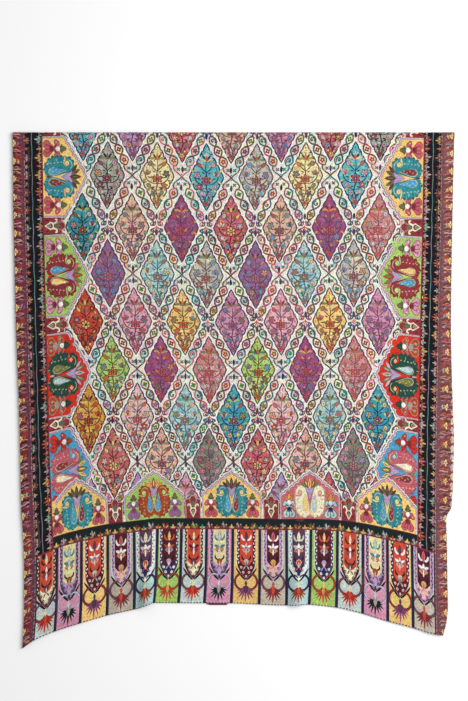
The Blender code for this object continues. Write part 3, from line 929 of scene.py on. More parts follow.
def arch_flower(where, ink, heart, cup):
    """A flower with two curled arms, a waist and two round lobes, a white point and a dark bud."""
    dark = blend(heart, "black", 0.35)
    for side in (-1, 1):
        for x, y, length, width, turn in ARCH_FLOWER:
            shape = drop(ARCH_FLOWER_X + side * x, y, length, width, side * turn)
            outlined(where, shape, ink, dark, 1.1)
    paint(where, oval(ARCH_FLOWER_X, -27, 5.0, 6.4), ink)
    paint(where, oval(ARCH_FLOWER_X, -20, 6.0, 4.6), blend(ink, heart, 0.75))
    for side in (-1, 1):
        for turn, length in ((50, 12), (122, 9), (152, 17), (170, 12)):
            paint(where, leaf(ARCH_FLOWER_X, -26, length, 2.4, side * turn), dark)
        lobe = oval(ARCH_FLOWER_X + side * 6.6, -9.5, 2.2, 3.4, side * 20, 8)
        paint(where, lobe, blend(ink, heart, 0.6))
        curl = oval(ARCH_FLOWER_X + side * 11.6, -31.5, 1.8, points=7)
        paint(where, curl, blend(ink, "white", 0.35))
    outlined(where, leaf(ARCH_FLOWER_X, -30, 13, 9), "white", "dark_grey", 0.8)
    for side in (-1, 1):
        outlined(where, leaf(ARCH_FLOWER_X, -41, 9, 4.4, side * 60), cup, "black", 0.6)
    outlined(where, leaf(ARCH_FLOWER_X, -41, 14, 8.4), cup, "black", 0.8)


# The bands round an arch: how far each reaches past its slopes and its straight sides
ARCH_BANDS = (
    (8.0, 3.6, "ivory"), (5.4, 2.8, "plum"), (4.4, 2.2, "lilac"), (2.7, 1.5, "pale_pink"),
    (1.2, 0.8, "dusk"),
)

# The forked leaf between the paisleys: its right half, from its foot up and back
ARCH_FORK = ((0, -42), (4, -52), (7.5, -61), (12, -72), (7, -71), (2.5, -64))


def pavilion(where, kind):
    """One arch, its foot at y = 0 and its point towards -y."""
    ground, body, scallop, tear_left, tear_right, *flower, low, middle, high = ARCH_INKS[kind].split()
    for by, side_by, ink in ARCH_BANDS:
        box = (-ARCH_HALF - side_by, -200), (ARCH_HALF + side_by, 0)
        paint(where, np.clip(grown(ARCH, by), *box), ink)
    paint(where, ARCH, ground)
    for _ in range(16):
        dab(where, 58, (-66, -4), (3, 7), (3, 8), ground, 0.13)
    for _ in range(14):
        nick(where, 60, (-42, -3), 5, 1.9, blend(ground, body, 0.3))
    for side in (1, -1):
        arch_flower(mirrored(where, side), *flower)
    for side, tear in ((1, tear_right), (-1, tear_left)):
        paisley(mirrored(where, side), body, scallop, tear, ground)
    outlined(where, [*ARCH_FORK, *to_side(-1, ARCH_FORK[:0:-1])], "lilac", "plum", 0.9)
    for side in (-1, 1):
        outlined(where, leaf(side * 9, -67, 17, 5.6, side * 46), high, "plum", 0.7)
        outlined(where, leaf(side * 5, -66, 21, 6.4, side * 22), middle, "plum", 0.7)
        paint(where, leaf(side * 6, -70, 13, 2.2, side * 22), low)
    outlined(where, leaf(0, -62, 26, 7.4), low, "plum", 0.8)
    paint(where, leaf(0, -68, 15, 2.8), middle)
    paint(where, drop(0, -5, 12, 4), low)


# A horn panel's right half from its foot up, and the horn in it
HORN_CROWN = (
    (17, 0), (17, -37), (18.5, -40), (17, -44), (12, -45), (9.5, -43.5), (6.5, -46), (4.5, -51), (0, -53),
)
HORN = ((3.5, -18), (5, -26), (8, -32.5), (12, -33), (13, -28.5))


def horn_panel(where):
    """A small maroon panel with pale horns over a ring."""
    outline = np.array(both_halves(HORN_CROWN), float)
    for by, ink in ((3.0, "plum"), (1.9, "cream"), (0.8, "deep_maroon")):
        paint(where, np.clip(grown(outline, by), (-20, -70), (20, 0)), ink)
    paint(where, outline, "maroon")
    for _ in range(9):
        nick(where, 13, (-44, -3), 6, 2.4, blend("rose", "maroon", 0.4))
    for turn, length, ink in ((-30, 17 * 0.86, "dark_grey"), (30, 17 * 0.86, "dark_grey"), (0, 17, "moss")):
        outlined(where, leaf(0, -27, length, 17 * 0.42, turn), ink, "deep_maroon", 0.8)
    for side in (-1, 1):
        paint(where, stroke(to_side(side, HORN), 3.3, 3, (0.8, 0.7)), "cream")
        outlined(where, oval(side * 7.5, -41, 3.0, 2.8, 0, 8), "rose", "deep_maroon", 0.7)
        paint(where, leaf(side * 12, -6, 9, 3.0, side * -20), "deep_maroon")
    paint(where, drop(0, -2, 24, 16.5), "cream")
    paint(where, drop(0, -6.5, 16.5, 10.5), "deep_maroon")
    paint(where, drop(0, -9, 10.5, 6.2), "taupe")
    paint(where, oval(0, -15.5, 1.6, 2.4, points=7), "moss")


# Where the panels and the arches stand, down the sides and across the foot
SIDE_HORNS, FOOT_HORNS = (-9, 207, 422, 631), (-278, -97, 84, 264)
SIDE_ARCHES = ((99, "yellow"), (316, "lime"), (529, "vermilion"), (733, "blue"))
FOOT_ARCHES = ((-187, "lime_foot"), (-7, "yellow"), (174, "salmon"), (-365, "yellow"), (353, "yellow"))
# The right side's arches lie this much further down
RIGHT_SAG = 3.5


def arches():
    """The arched border down both sides and along the foot of the field."""
    for side in (-1, 1):
        sag = RIGHT_SAG if side > 0 else 0
        for v in SIDE_HORNS:
            horn_panel(at(side * HALF, v + sag, side * -90, 1.12, tall=0.9))
        for v, kind in SIDE_ARCHES:
            pavilion(at(side * HALF, v + sag, side * -90, 1.27, tall=0.98), kind)
    for u in FOOT_HORNS:
        horn_panel(at(u, CROSS, size=0.93))
    for u, kind in FOOT_ARCHES:
        pavilion(at(u, CROSS, size=0.98, tall=1.03), kind)


# The dark bands

# The pitch and number of rows down the side bands and the borders
STAR_PITCH = 38.1
STAR_ROWS = 29
# On the band across: where its upper edge line ends and its red line starts, the plants' foot,
# and a plant's leaves by turn and length
CROSS_EDGE_V, CROSS_RED_V, CROSS_FOOT = 858.6, 878.6, 879.5
SPRAY = ((-66, 8.5), (-36, 10.5), (-10, 12.5), (22, 11.0), (54, 9.0))


def spray(where, inks):
    """A small spiky plant that stands 12 mm tall."""
    inks = [blend(ink, CROSS_EARTH, 0.3) for ink in inks.split()]
    for i, (turn, length) in enumerate(SPRAY):
        shape = leaf(0, 0, length * chance.uniform(0.85, 1.1), 2.8, turn + chance.uniform(-7, 7))
        paint(where, shape, inks[i % len(inks)], 0.18)
    for x, y in ((-3.4, -7.5), (3.6, -6.5)):
        paint(where, oval(x, y, 1.3, 1.5, points=5), inks[-1], 0.2)


# Inks of the plants on the band across
BAND_INKS = (
    "rust gold rust", "maroon ochre dusk", "lilac rust pale_green", "coral leaf gold",
    "ochre maroon mint", "rust dusk light_pink", "gold olive rust",
)


def plant(where, inks):
    """A plant 14 mm tall and 19 mm wide: a pointed head, side leaves and curled arms."""
    head, arms, dots = (blend(ink, BAND_EARTH, 0.32) for ink in inks.split())
    for side in (-1, 1):
        hook = to_side(side, ((0, -1), (4, -3), (8, -5), (9.2, -2), (7.4, -0.4)))
        paint(where, stroke(hook, 2.1, 2, (0.7, 0.6)), arms, 0.12)
        paint(where, leaf(side * 1.2, -3.4, 6.6, 2.6, side * 52), head, 0.14)
        paint(where, leaf(side * 5.4, -7.0, 3.6, 1.9, side * 18), dots, 0.12)
    paint(where, leaf(0, -2.5, 11.5, 4.2, chance.uniform(-6, 6)), head, 0.1)
    paint(where, leaf(0, -3.2, 6.0, 1.5), dots, 0.1)
    paint(where, oval(0, -1.2, 3.0, 1.3, points=6), dots, 0.1)


def bud_sprig(where, inks):
    """A small bud of three points, 10 mm tall."""
    head, arms, dots = (blend(ink, BAND_EARTH, 0.28) for ink in inks.split())
    for side in (-1, 1):
        paint(where, leaf(0, -0.6, 7.6, 2.9, side * 50), arms, 0.12)
    paint(where, leaf(0, -1.0, 9.6, 3.6, chance.uniform(-9, 9)), head, 0.12)
    paint(where, leaf(0, -1.0, 4.4, 1.4), dots, 0.1)


# Inks of the side bands' plants and buds: head, arms and dots
PLANT_INKS = (
    "peach salmon ochre", "beige light_pink maroon", "coral rose gold", "mint taupe leaf",
    "light_pink orchid taupe", "gold peach coral", "salmon taupe rust", "salmon rust peach",
)
# For each side: how far out its middle line lies, and the sizes of its inner and outer plants
BAND_FACTS = {-1: (2.6, 1.14, 0.84), 1: (0.0, 1.14, 0.98)}
BAND_EARTH = INKS["black"] * 0.45
CROSS_EARTH = blend("black", "dark_pine", 0.4)


def side_band(side):
    """The near-black band down one side: plants and buds on its edges and a thin middle line."""
    on_cloth(block(side * HALF, side * INNER, PRINT_TOP, END), BAND_EARTH)
    line_out, inner_size, outer_size = BAND_FACTS[side]
    middle = side * (DARK + line_out)
    for i in range(60):
        spot = middle + chance.uniform(-5, 5), -20 + 15.4 * i + chance.uniform(-4, 4)
        tone = blend(("dark_pine", "navy")[i % 2], "black", chance.uniform(0.5, 0.9)) * 0.7
        on_cloth(oval(*spot, chance.uniform(2, 4.5), chance.uniform(4, 8)), tone)
    line = block(side * (HALF - 1), side * (HALF + 2.2), PRINT_TOP, END)
    on_cloth(line, blend("maroon", "black", 0.2))
    for i in range(24):
        for u, turn, size in ((HALF + 2.2, 90, inner_size), (INNER - 0.6, -90, outer_size)):
            v = -20 + STAR_PITCH * i + chance.uniform(-1, 1)
            where = at(side * u, v, side * turn + chance.uniform(-7, 7), size)
            plant(where, chance.choice(PLANT_INKS))
            where = at(side * u, v + STAR_PITCH / 2, side * turn + chance.uniform(-9, 9), size)
            bud_sprig(where, chance.choice(PLANT_INKS))
    places = [(middle + 0.7 * math.sin(i * 1.7), PRINT_TOP + 15.1 * i) for i in range(61)]
    for k in range(12):
        tone = blend("grey", ("sea", "taupe", "teal", "lilac")[k % 4], 0.6) * 0.5
        on_cloth(stroke(places[5 * k : 5 * k + 6], 1.7, 2, (1, 1)), tone)


def cross_band():
    """The near-black band above the end panel, with small plants on a red line."""
    on_cloth(block(-HALF, HALF, CROSS, END + 1), CROSS_EARTH)
    on_cloth(block(-HALF, HALF, CROSS_RED_V, END + 1), blend("maroon", "black", 0.35))
    on_cloth(block(-HALF, HALF, CROSS, CROSS_EDGE_V), "deep_maroon")
    for i in range(50):
        u = -416 + 17 * i
        if i % 2:
            spray(at(u, CROSS_FOOT, chance.uniform(-8, 8), 1.25), chance.choice(BAND_INKS))
        else:
            for side in (-1, 1):
                on_cloth(leaf(u, CROSS_FOOT, 8.5, 3.6, side * 62), blend("gold", "rust", 0.4))
            head = ("gold", "ochre", "teal", "rust")[i // 2 % 4]
            on_cloth(leaf(u, 880, 10, 4.6), blend(head, "black", 0.1))
        for side in (-1, 1):
            on_cloth(leaf(u + side * 7, CROSS_FOOT, 5, 2.2, side * -15), blend("moss", "black", 0.3))


# A gold flower's petals: turn, length and width
LILY_PETALS = ((10, 8.6, 4.6), (172, 8.8, 4.4), (-62, 6.6, 3.6), (-116, 6.4, 3.4), (84, 5.2, 3.4))


def lily(where, ink, shine, heart):
    """A gold flower with two long petals and three short ones, 17 mm long."""
    for turn, length, width in LILY_PETALS:
        turn += chance.uniform(-9, 9)
        paint(where, leaf(0, 0, length + 1.4, width + 1.6, turn), "deep_maroon")
        paint(where, leaf(0, 0, length, width, turn), ink, 0.1)
    for turn, length, width in LILY_PETALS[:2]:
        paint(where, leaf(0, 0, length * 0.7, width * 0.4, turn), shine, 0.1)
    paint(where, oval(0, 0, 1.5, points=6), heart)


def plume(side, x, y, size, ink):
    """A dark curved feather across the border, a pale line along it and short hooks."""
    ridge = [(x, y), (x + 12 * size, y - 5), (x + 25 * size, y - 3), (x + 36 * size, y - 10)]
    on_cloth(stroke(to_side(side, ridge), 4.6, 2, (0.5, 0.15)), ink)
    pale = blend(any_of("pink rose salmon lilac gold"), "dusk", 0.4)
    on_cloth(stroke([(side * a, b + 3.6) for a, b in ridge], 1.5, 2, (0.8, 0.3)), pale)
    for a, b in ridge[:3]:
        for lag, tone in ((1, INKS["deep_maroon"]), (5, blend("maroon", "pink", 0.25))):
            foot = side * (a + lag + chance.uniform(-1, 2)), b + 5
            on_cloth(leaf(*foot, 7, 2.0, side * chance.uniform(25, 75)), tone)


# For each side: how far from its inner line the gold flowers stand, and their first place
LILY_PLACES = {-1: (23.4, -14.0), 1: (22.0, -29.5)}
# The pale flowers past the gold ones, which show only where less of the edge is turned under
EDGE_FLOWER_U = 499.5
PALM_INKS = "coral peach light_blue gold rose lilac salmon"


def palm(where, ink):
    """A small spread of five leaves on a short stalk."""
    paint(where, leaf(0, 3, 8, 2.0), blend(ink, "maroon", 0.3))
    for turn in (-70, -36, 0, 36, 70):
        paint(where, leaf(0, -1, chance.uniform(6.4, 8.2), 2.2, turn), blend(ink, "dusk", 0.3), 0.12)


# A dim patch of the ground: u past the inner line, and v
DIM_PATCH = ((-1, 0), (14, -5), (30, 2), (54, -4), (54, 8), (28, 13), (12, 7), (-1, 11))
# The pale flowers near the edge: each petal's turn, length and width
EDGE_PETALS = ((0, 8.5, 6.5), (180, 8, 6), (-70, 5, 4), (60, 7, 5), (120, 7, 5))


def star_border(side):
    """The dusky border: gold flowers near the edge, plumes, palms and pale strokes between."""
    first = len(PRINT)
    on_cloth(block(side * INNER, side * PRINT_SIDE, PRINT_TOP, PRINT_FOOT), blend("dusk", "brown", 0.55))
    lily_u, lily_v = LILY_PLACES[side]
    for i in range(STAR_ROWS):
        v = lily_v + STAR_PITCH * i
        for k in range(2):
            patch = [(INNER + x, v + 19 * k - 6 + y) for x, y in DIM_PATCH]
            kind = (i + k) % 3
            tone = blend(("maroon", "dusk", "coral")[kind], "deep_maroon", (0.4, 0.4, 0.6)[kind])
            on_cloth(to_side(side, patch), tone)
        for k in range(4):
            y = v + (k + 0.5) * STAR_PITCH / 4 + chance.uniform(-1, 1)
            ink = blend(any_of("deep_maroon brown maroon black"), "deep_maroon", 0.5)
            plume(side, INNER + chance.uniform(7, 10), y, chance.uniform(0.8, 1.0), ink)
        across = [(INNER + x, v + y) for x, y in ((8.5, 20), (13, 18), (19, 18.8), (27, 17))]
        tone = blend(any_of("light_pink peach salmon taupe"), "maroon", 0.34)
        on_cloth(stroke(to_side(side, across), 2.5, 2, (0.4, 0.9)), tone)
        for k in range(2):
            turn = side * chance.uniform(60, 120)
            spot = at(side * (INNER + 11.5), v + 1.5 + 26 * k, turn, 0.78 - 0.16 * k)
            palm(spot, any_of(PALM_INKS))
        lily(at(side * (INNER + lily_u), v, 0, 0.94, side), "gold", "pale_yellow", "rust")
    stripe = block(side * (INNER - 1), side * (INNER + 7.5), PRINT_TOP, PRINT_FOOT)
    on_cloth(stripe, blend("dusk", "black", 0.36))
    for i in range(119):
        v = -20 + 9.1 * i
        mark = [(INNER + 0.6, v), (INNER + 0.9, v + chance.uniform(4, 7.5))]
        tone = blend(any_of("light_pink taupe rose beige"), "dusk", 0.4)
        on_cloth(stroke(to_side(side, mark), 1.4, 1, (1, 1)), tone)
        foot = side * (INNER + chance.uniform(3, 6.5)), v + chance.uniform(0, 8)
        tone = blend(any_of("rose plum lilac maroon salmon"), "dusk", 0.45)
        on_cloth(leaf(*foot, 5, 1.9, side * chance.uniform(20, 160)), tone)
    for i in range(2 * STAR_ROWS):
        v = lily_v + 9 + STAR_PITCH / 2 * i
        where = at(side * EDGE_FLOWER_U, v, chance.uniform(-12, 12), 1, side)
        ink = blend(any_of("peach pale_yellow mint light_pink cream"), "taupe", 0.35)
        for turn, length, width in EDGE_PETALS:
            paint(where, leaf(0, 0, length, width, turn + chance.uniform(-12, 12)), ink, 0.16)
        paint(where, leaf(-1, 4, 8, 1.8), any_of("ochre salmon dusk"))
    # Painted light: the right border's colours are lifted and paled a little, for the stronger light and
    # sheen on that side
    if side > 0:
        PRINT[first:] = [(points, ink * 0.92 + INKS["peach"] * 0.07) for points, ink in PRINT[first:]]


# The end panels

PANEL_WIDTH = 2 * INNER / 16
# From where to where the lines between the panels run, and the stitches along the hem
PANEL_LINE_V, STITCH_V = (879, 1055), (1044.8, 1047.5)
STITCHES, STITCH_PITCH, STITCH_LENGTH = 132, 7.02, 4
# Ground, arch field, its edge, the edge's dots, point, its dots, loops, tassel, its heart,
# bud, stem, crescents and vase
PANEL_INKS = (
    "mint coral deep_maroon pale_yellow cream deep_maroon dusk "
    "vermilion coral pale_yellow white deep_maroon plum",
    "orchid pale_yellow plum lilac lilac navy pale_lilac "
    "black taupe light_blue pale_green teal rust",
    "gold coral deep_maroon white deep_maroon light_pink maroon "
    "magenta plum plum light_pink white grey",
    "beige deep_maroon lilac deep_maroon light_pink maroon dusk "
    "maroon coral coral white white ochre",
    "light_blue plum white deep_maroon navy white navy "
    "rust coral pale_yellow white light_blue coral",
    "lime deep_maroon plum white navy white rust "
    "coral ochre gold cream coral lilac",
)


def end_arch(half, foot, tip):
    """A long tongue with a pointed end."""
    slope = ((half * 0.9, foot + 9), (half * 0.66, foot + 19), (half * 0.34, foot + 28))
    return both_halves([(half, -2), (half, foot), *slope, (0, tip)])


# A panel's loop on its right, from the middle line round and back
LOOP = ((2, 106), (9, 100), (18, 102), (24.5, 111), (24.5, 122), (18, 131), (9, 133), (3, 127))
# The tassel's threads on one side: turn and length
TASSEL = ((163, 27), (143, 25), (123, 22), (103, 18), (82, 13))
# The dots beside the tongue's point
PANEL_BEADS = ((11.4, 85), (6.6, 96))


def end_panel(where, inks, half):
    """One panel with its tongue, loops and tassel; y = 0 is its top and 166 its hem."""
    ground, inner, rim, dots, point, point_dots, loops, *rest = inks.split()
    tassel, heart, spindle, stem, crescent, vase = rest
    paint(where, block(-half, half, -2, 172), ground)
    for _ in range(12):
        dab(where, 22, (96, 164), (3, 6), (4, 8), ground, 0.14)
    paint(where, end_arch(22.6, 76, 115), blend("white", ground, 0.25))
    paint(where, end_arch(21.4, 76, 112), rim)
    paint(where, end_arch(15.9, 74, 106), blend(point, rim, 0.35))
    paint(where, end_arch(14.6, 68, 102), point)
    tongue = [(-14.6, -2), (14.6, -2), (14.6, 70), (8, 78), (0, 82), (-8, 78), (-14.6, 70)]
    paint(where, tongue, inner)
    for _ in range(10):
        dab(where, 12, (2, 66), (2, 4), (3, 6), inner, 0.15, 6)
    for side in (-1, 1):
        for i in range(11):
            shape = leaf(side * 18.6, 6 + 7.1 * i, 5.6, 3.0, side * (i % 2 * 50 - 25))
            paint(where, shape, blend(dots, rim, 0.15))
        for x, y in PANEL_BEADS:
            paint(where, oval(side * x, y, 2.8, 3.4, side * 30, 7), point_dots)
            paint(where, oval(side * x, y, 1.1, points=5), point)
        brow = to_side(side, ((24, 86), (17, 96), (8, 107), (1, 113)))
        paint(where, stroke(brow, 4.4, 2, (0.3, 0.5)), "black")
        for width, darker in ((5.2, 0.7), (3.0, 0.1)):
            loop = stroke(to_side(side, LOOP), width, 3, (0.3, 0.5))
            paint(where, loop, blend(loops, "black", darker))
        for i, (turn, length) in enumerate(TASSEL):
            tone = blend(tassel, "black", 0.45 if i % 2 else 0.15)
            length *= chance.uniform(0.9, 1.08)
            paint(where, leaf(side * 1.5, 133, length, 4.2, side * turn), tone)
        hook = to_side(side, ((2, 23), (6, 24), (10, 19), (11, 12)))
        paint(where, stroke(hook, 4.2, 3, (0.3, 0.3)), crescent)
        outlined(where, leaf(side * 1.5, 41, 12, 5.5, side * 62), crescent, rim, 0.7)
        outlined(where, leaf(side * 1.5, 42, 10, 5, side * 125), blend(vase, inner, 0.3), rim, 0.7)
        paint(where, leaf(side * 2, 52, 8, 3.0, side * 50), vase)
        horn = to_side(side, ((0, 68), (5, 68), (9.6, 64), (10, 57)))
        paint(where, stroke(horn, 3.6, 3, (0.5, 0.2)), "black")
        paint(where, leaf(side * 2, 82, 10, 3.2, side * 150), vase)
    paint(where, oval(0, 105, 2.4, 3.2, points=7), point_dots)
    paint(where, oval(0, 134, 5.8, 8), blend(tassel, "black", 0.25))
    paint(where, leaf(0, 130, 34, 5, 180), tassel)
    outlined(where, leaf(0, 124, 20, 8.5, 180), heart, "black", 0.8)
    paint(where, leaf(0, 114, 14, 6, 180), spindle)
    outlined(where, leaf(0, 27, 22, 6.4), spindle, rim, 0.8)
    outlined(where, leaf(0, 43, 13, 5.4), stem, rim, 0.6)
    paint(where, oval(0, 42, 2.6, points=7), heart)
    paint(where, leaf(0, 58, 17, 4.0), stem)
    outlined(where, drop(0, 84, 18, 11), vase, rim, 0.8)
    paint(where, leaf(0, 83, 12, 3.0), spindle)


# Each panel's width against the mean one
PANEL_SHARES = (0.84, 0.98, 1.05, 1.06, 0.96, 0.96, 1.01, 1.05, 1.08, 1.07, 0.99, 1.06, 1.02, 0.98, 0.99, 0.9)


def end_panels():
    """All sixteen, side by side, with stitches at the hem and dark lines between them."""
    ends = -INNER + PANEL_WIDTH * np.concatenate([[0], np.cumsum(PANEL_SHARES)])
    for i, (left, right) in enumerate(zip(ends, ends[1:], strict=False)):
        where = at((left + right) / 2, END, flip=1 if i % 2 else -1)
        end_panel(where, PANEL_INKS[i % len(PANEL_INKS)], (right - left) / 2)
    for i in range(STITCHES):
        u = -INNER + STITCH_PITCH * i
        on_cloth(block(u, u + STITCH_LENGTH, *STITCH_V), "plum")
    for u in ends:
        for half, ink in ((3.5, INKS["plum"]), (2.6, blend("navy", "black", 0.6))):
            on_cloth(block(u - half, u + half, *PANEL_LINE_V), ink)


def paint_print():
    """The whole print, in the order in which its parts cover each other."""
    on_cloth(block(*GROUND), "ivory")
    lattice()
    arches()
    end_panels()
    cross_band()
    for side in (-1, 1):
        side_band(side)
        star_border(side)
    for side in (-1, 1):
        on_cloth(block(side * HALF, side * INNER, END, END + 3), "maroon")


# From the flat print to shells of cloth


def spread(low, high, step):
    """Places from low to high, about a step apart."""
    return np.linspace(low, high, max(2, round((high - low) / step)) + 1)


def crossings(us, vs):
    """Every place of some columns and rows."""
    return np.stack(np.meshgrid(us, vs), axis=-1).reshape(-1, 2)


def grid(low_u, high_u, low_v, high_v, step_u, step_v):
    """Places inside a stretch, closer together across the ridges."""
    places = [crossings(spread(low_u, high_u, step_u)[1:-1], spread(low_v, high_v, step_v)[1:-1])]
    for place, _, half_width, _, top_v in RIDGES:
        reach_out = half_width + 4
        fine = np.arange(max(low_u, place - reach_out), min(high_u, place + reach_out), RIDGE_STEPS[0])
        rows = np.arange(max(low_v, top_v), high_v, RIDGE_STEPS[1])
        fine = fine[(fine > low_u + 1) & (fine < high_u - 1)]
        rows = rows[(rows > low_v + 1) & (rows < high_v - 1)]
        places.append(crossings(fine, rows))
    return np.vstack(places)


def outline_of(low_u, high_u, low_v, high_v, step_u, step_v):
    """A stretch's outline, its places a step apart."""
    us, vs = spread(low_u, high_u, step_u), spread(low_v, high_v, step_v)
    top = [(u, low_v) for u in us]
    right = [(high_u, v) for v in vs[1:]]
    foot = [(u, high_v) for u in us[-2::-1]]
    left = [(low_u, v) for v in vs[-2:0:-1]]
    return np.array(top + right + foot + left)


def sides_of(triangles):
    """The three sides of every triangle, as pairs of places: all the first ones, and so on."""
    return np.vstack([triangles[:, [0, 1]], triangles[:, [1, 2]], triangles[:, [2, 0]]])


def keys_of(edges, count):
    """One number for each pair of places, whichever comes first."""
    return edges.min(axis=1) * count + edges.max(axis=1)


def flat_mesh(places, edges, loops):
    """Blender's own triangles between places, along edges or inside loops."""
    flat = [Vector(p) for p in np.vstack(places)]
    spots, *rest = delaunay_2d_cdt(flat, edges, loops, 0, 1e-4, True)
    return np.array([tuple(p) for p in spots]), *rest


def joined(ends, left, right, spots):
    """Shown edges with the places taken out where two of them run on in one line."""
    at_rim = np.zeros(len(spots), bool)
    at_rim[ends[(left < 0) | (right < 0)].ravel()] = True
    for _ in range(8):
        half_edges = ends.ravel()
        free = np.nonzero((np.bincount(half_edges, minlength=len(spots)) == 2) & ~at_rim)[0]
        order = np.argsort(half_edges, kind="stable")
        first = np.searchsorted(half_edges[order], free)
        a, b = order[first], order[first + 1]
        before, after = ends[a // 2, 1 - a % 2], ends[b // 2, 1 - b % 2]
        chord, arm = spots[after] - spots[before], spots[free] - spots[before]
        length = np.maximum(np.linalg.norm(chord, axis=1), 1e-9)
        off = abs(chord[:, 0] * arm[:, 1] - chord[:, 1] * arm[:, 0]) / length
        between = ((spots[after] - spots[free]) * arm).sum(axis=1) > 0
        straight = np.zeros(len(spots), bool)
        straight[free[(off < STRAIGHT) & between & (before != after)]] = True
        picked = straight[free] & ~(straight[before] & (before < free)) & ~(straight[after] & (after < free))
        if not picked.any():
            break
        a, b, before, after = (x[picked] for x in (a, b, before, after))
        ahead = a % 2 == 1
        new_left = np.where(ahead, left[a // 2], right[a // 2])
        new_right = np.where(ahead, right[a // 2], left[a // 2])
        kept = np.ones(len(ends), bool)
        kept[a // 2] = kept[b // 2] = False
        ends = np.vstack([ends[kept], np.stack([before, after], axis=1)])
        left, right = np.append(left[kept], new_left), np.append(right[kept], new_right)
    return ends, left, right


def shown_edges(outline, shapes):
    """The edges that show once each shape covers those before it, and what lies beside each."""
    places, loops, total = [], [], 0
    for points in (outline, *[points for points, _ in shapes]):
        after = np.roll(points, -1, axis=0)
        turns = (points[:, 0] * after[:, 1] - after[:, 0] * points[:, 1]).sum()
        order = range(total, total + len(points))
        loops.append(list(order if turns > 0 else reversed(order)))
        places.append(points)
        total += len(points)
    spots, _, faces, _, _, owners = flat_mesh(places, [], loops)
    tops = np.tile([max(owner) if 0 in owner else -1 for owner in owners], 3)
    edges = sides_of(np.array(faces))
    keys, place = np.unique(keys_of(edges, len(spots)), return_inverse=True)
    ahead = edges[:, 0] < edges[:, 1]
    left, right = np.full(len(keys), -1), np.full(len(keys), -1)
    left[place[ahead]] = tops[ahead]
    right[place[~ahead]] = tops[~ahead]
    ends = np.stack([keys // len(spots), keys % len(spots)], axis=1)
    shows = left != right
    return spots, *joined(ends[shows], left[shows], right[shows], spots)


def patches(faces, walls):
    """One number for each patch of triangles that no wall parts."""
    count = faces.max() + 1
    keys, owner = keys_of(sides_of(faces), count), np.tile(np.arange(len(faces)), 3)
    open_side = ~np.isin(keys, keys_of(walls, count))
    keys, owner = keys[open_side], owner[open_side]
    order = np.argsort(keys, kind="stable")
    twin = np.nonzero(np.diff(keys[order]) == 0)[0]
    one, other = owner[order[twin]], owner[order[twin + 1]]
    label = np.arange(len(faces))
    while True:
        least = np.minimum(label[one], label[other])
        fresh = label.copy()
        np.minimum.at(fresh, one, least)
        np.minimum.at(fresh, other, least)
        fresh = fresh[fresh]
        if (fresh == label).all():
            return label
        label = fresh


def cut(outline, inner, shapes):
    """Triangles of a flat stretch along every edge of the print that shows, with their colours."""
    spots, ends, left, right = shown_edges(outline, shapes)
    used, kept = np.unique(ends, return_inverse=True)
    kept, start = kept.reshape(-1, 2), spots[used]
    spots, edges, faces, _, edge_from, _ = flat_mesh([start, inner], kept.tolist(), [])
    faces = np.array(faces)
    walls = np.array([edge for edge, source in zip(edges, edge_from, strict=True) if source])
    source = np.array([source[0] for source in edge_from if source])
    label = patches(faces, walls).tolist()

    # What lies beside each wall, seen along it one way and the other
    run = spots[walls[:, 1]] - spots[walls[:, 0]]
    lengths = np.linalg.norm(run, axis=1).tolist()
    same_way = (run * (start[kept[source, 1]] - start[kept[source, 0]])).sum(axis=1) > 0
    beside = {}
    for way, here, there in ((1, left, right), (-1, right, left)):
        pairs = map(tuple, walls[:, ::way].tolist())
        inks = np.where(same_way, here[source], there[source]).tolist()
        beside.update(zip(pairs, zip(inks, lengths, strict=True), strict=True))

    # Each patch takes the colour that the most of its outline has beside it
    votes = {}
    for face, patch in zip(faces.tolist(), label, strict=True):
        for pair in zip(face, face[1:] + face[:1], strict=True):
            if pair in beside:
                ink, length = beside[pair]
                found = votes.setdefault(patch, {})
                found[ink] = found.get(ink, 0) + length
    winner = {patch: max(found, key=found.get) for patch, found in votes.items()}
    owner = np.array([winner.get(patch, -1) for patch in label])
    inks = np.array([INKS["reverse"], *[ink for _, ink in shapes]])
    inside = owner >= 0
    used, kept = np.unique(faces[inside], return_inverse=True)
    return spots[used], kept.reshape(-1, 3), inks[owner[inside]]


def rim_edges(triangles):
    """The outside edges in order round the stretch, and the triangle inside each."""
    edges, owner = sides_of(triangles), np.tile(np.arange(len(triangles)), 3)
    keys = keys_of(edges, triangles.max() + 1)
    _, first, count = np.unique(keys, return_index=True, return_counts=True)
    follow = {int(edges[i][0]): (int(edges[i][1]), int(owner[i])) for i in first[count == 1]}
    loop, owners = [], []
    spot = start = next(iter(follow))
    while not loop or spot != start:
        loop.append(spot)
        spot, triangle = follow[spot]
        owners.append(triangle)
    return loop, owners


def matched(spots, around):
    """The number of each place of a rim among another face's places."""
    number = {tuple(np.round(p, 3)): i for i, p in enumerate(spots)}
    return np.array([number[tuple(np.round(p, 3))] for p in around])


def shapes_over(box, least=0.0):
    """The painted shapes that touch a stretch and are no smaller than least, in square mm."""
    low_u, high_u, low_v, high_v = box
    kept = []
    for points, ink in PRINT:
        low, high = points.min(axis=0), points.max(axis=0)
        if high[0] > low_u and low[0] < high_u and high[1] > low_v and low[1] < high_v:
            if np.prod(high - low) >= least:
                kept.append((points, ink))
    return kept


def map_places(spots, box):
    """Places in the baked picture for the painted side, in its wide left part."""
    low_u, high_u, low_v, high_v = box
    share = np.clip((spots - (low_u, low_v)) / (high_u - low_u, high_v - low_v), 0, 1)
    return MAP_EDGE + share * MAP_SIZE


def strip_places(spots, box):
    """Places in the baked picture for the plain side, in its narrow right part."""
    return (STRIP_FROM, 0.0) + (map_places(spots, box) - (MAP_EDGE, 0.0)) * (STRIP_SHARE, 1)


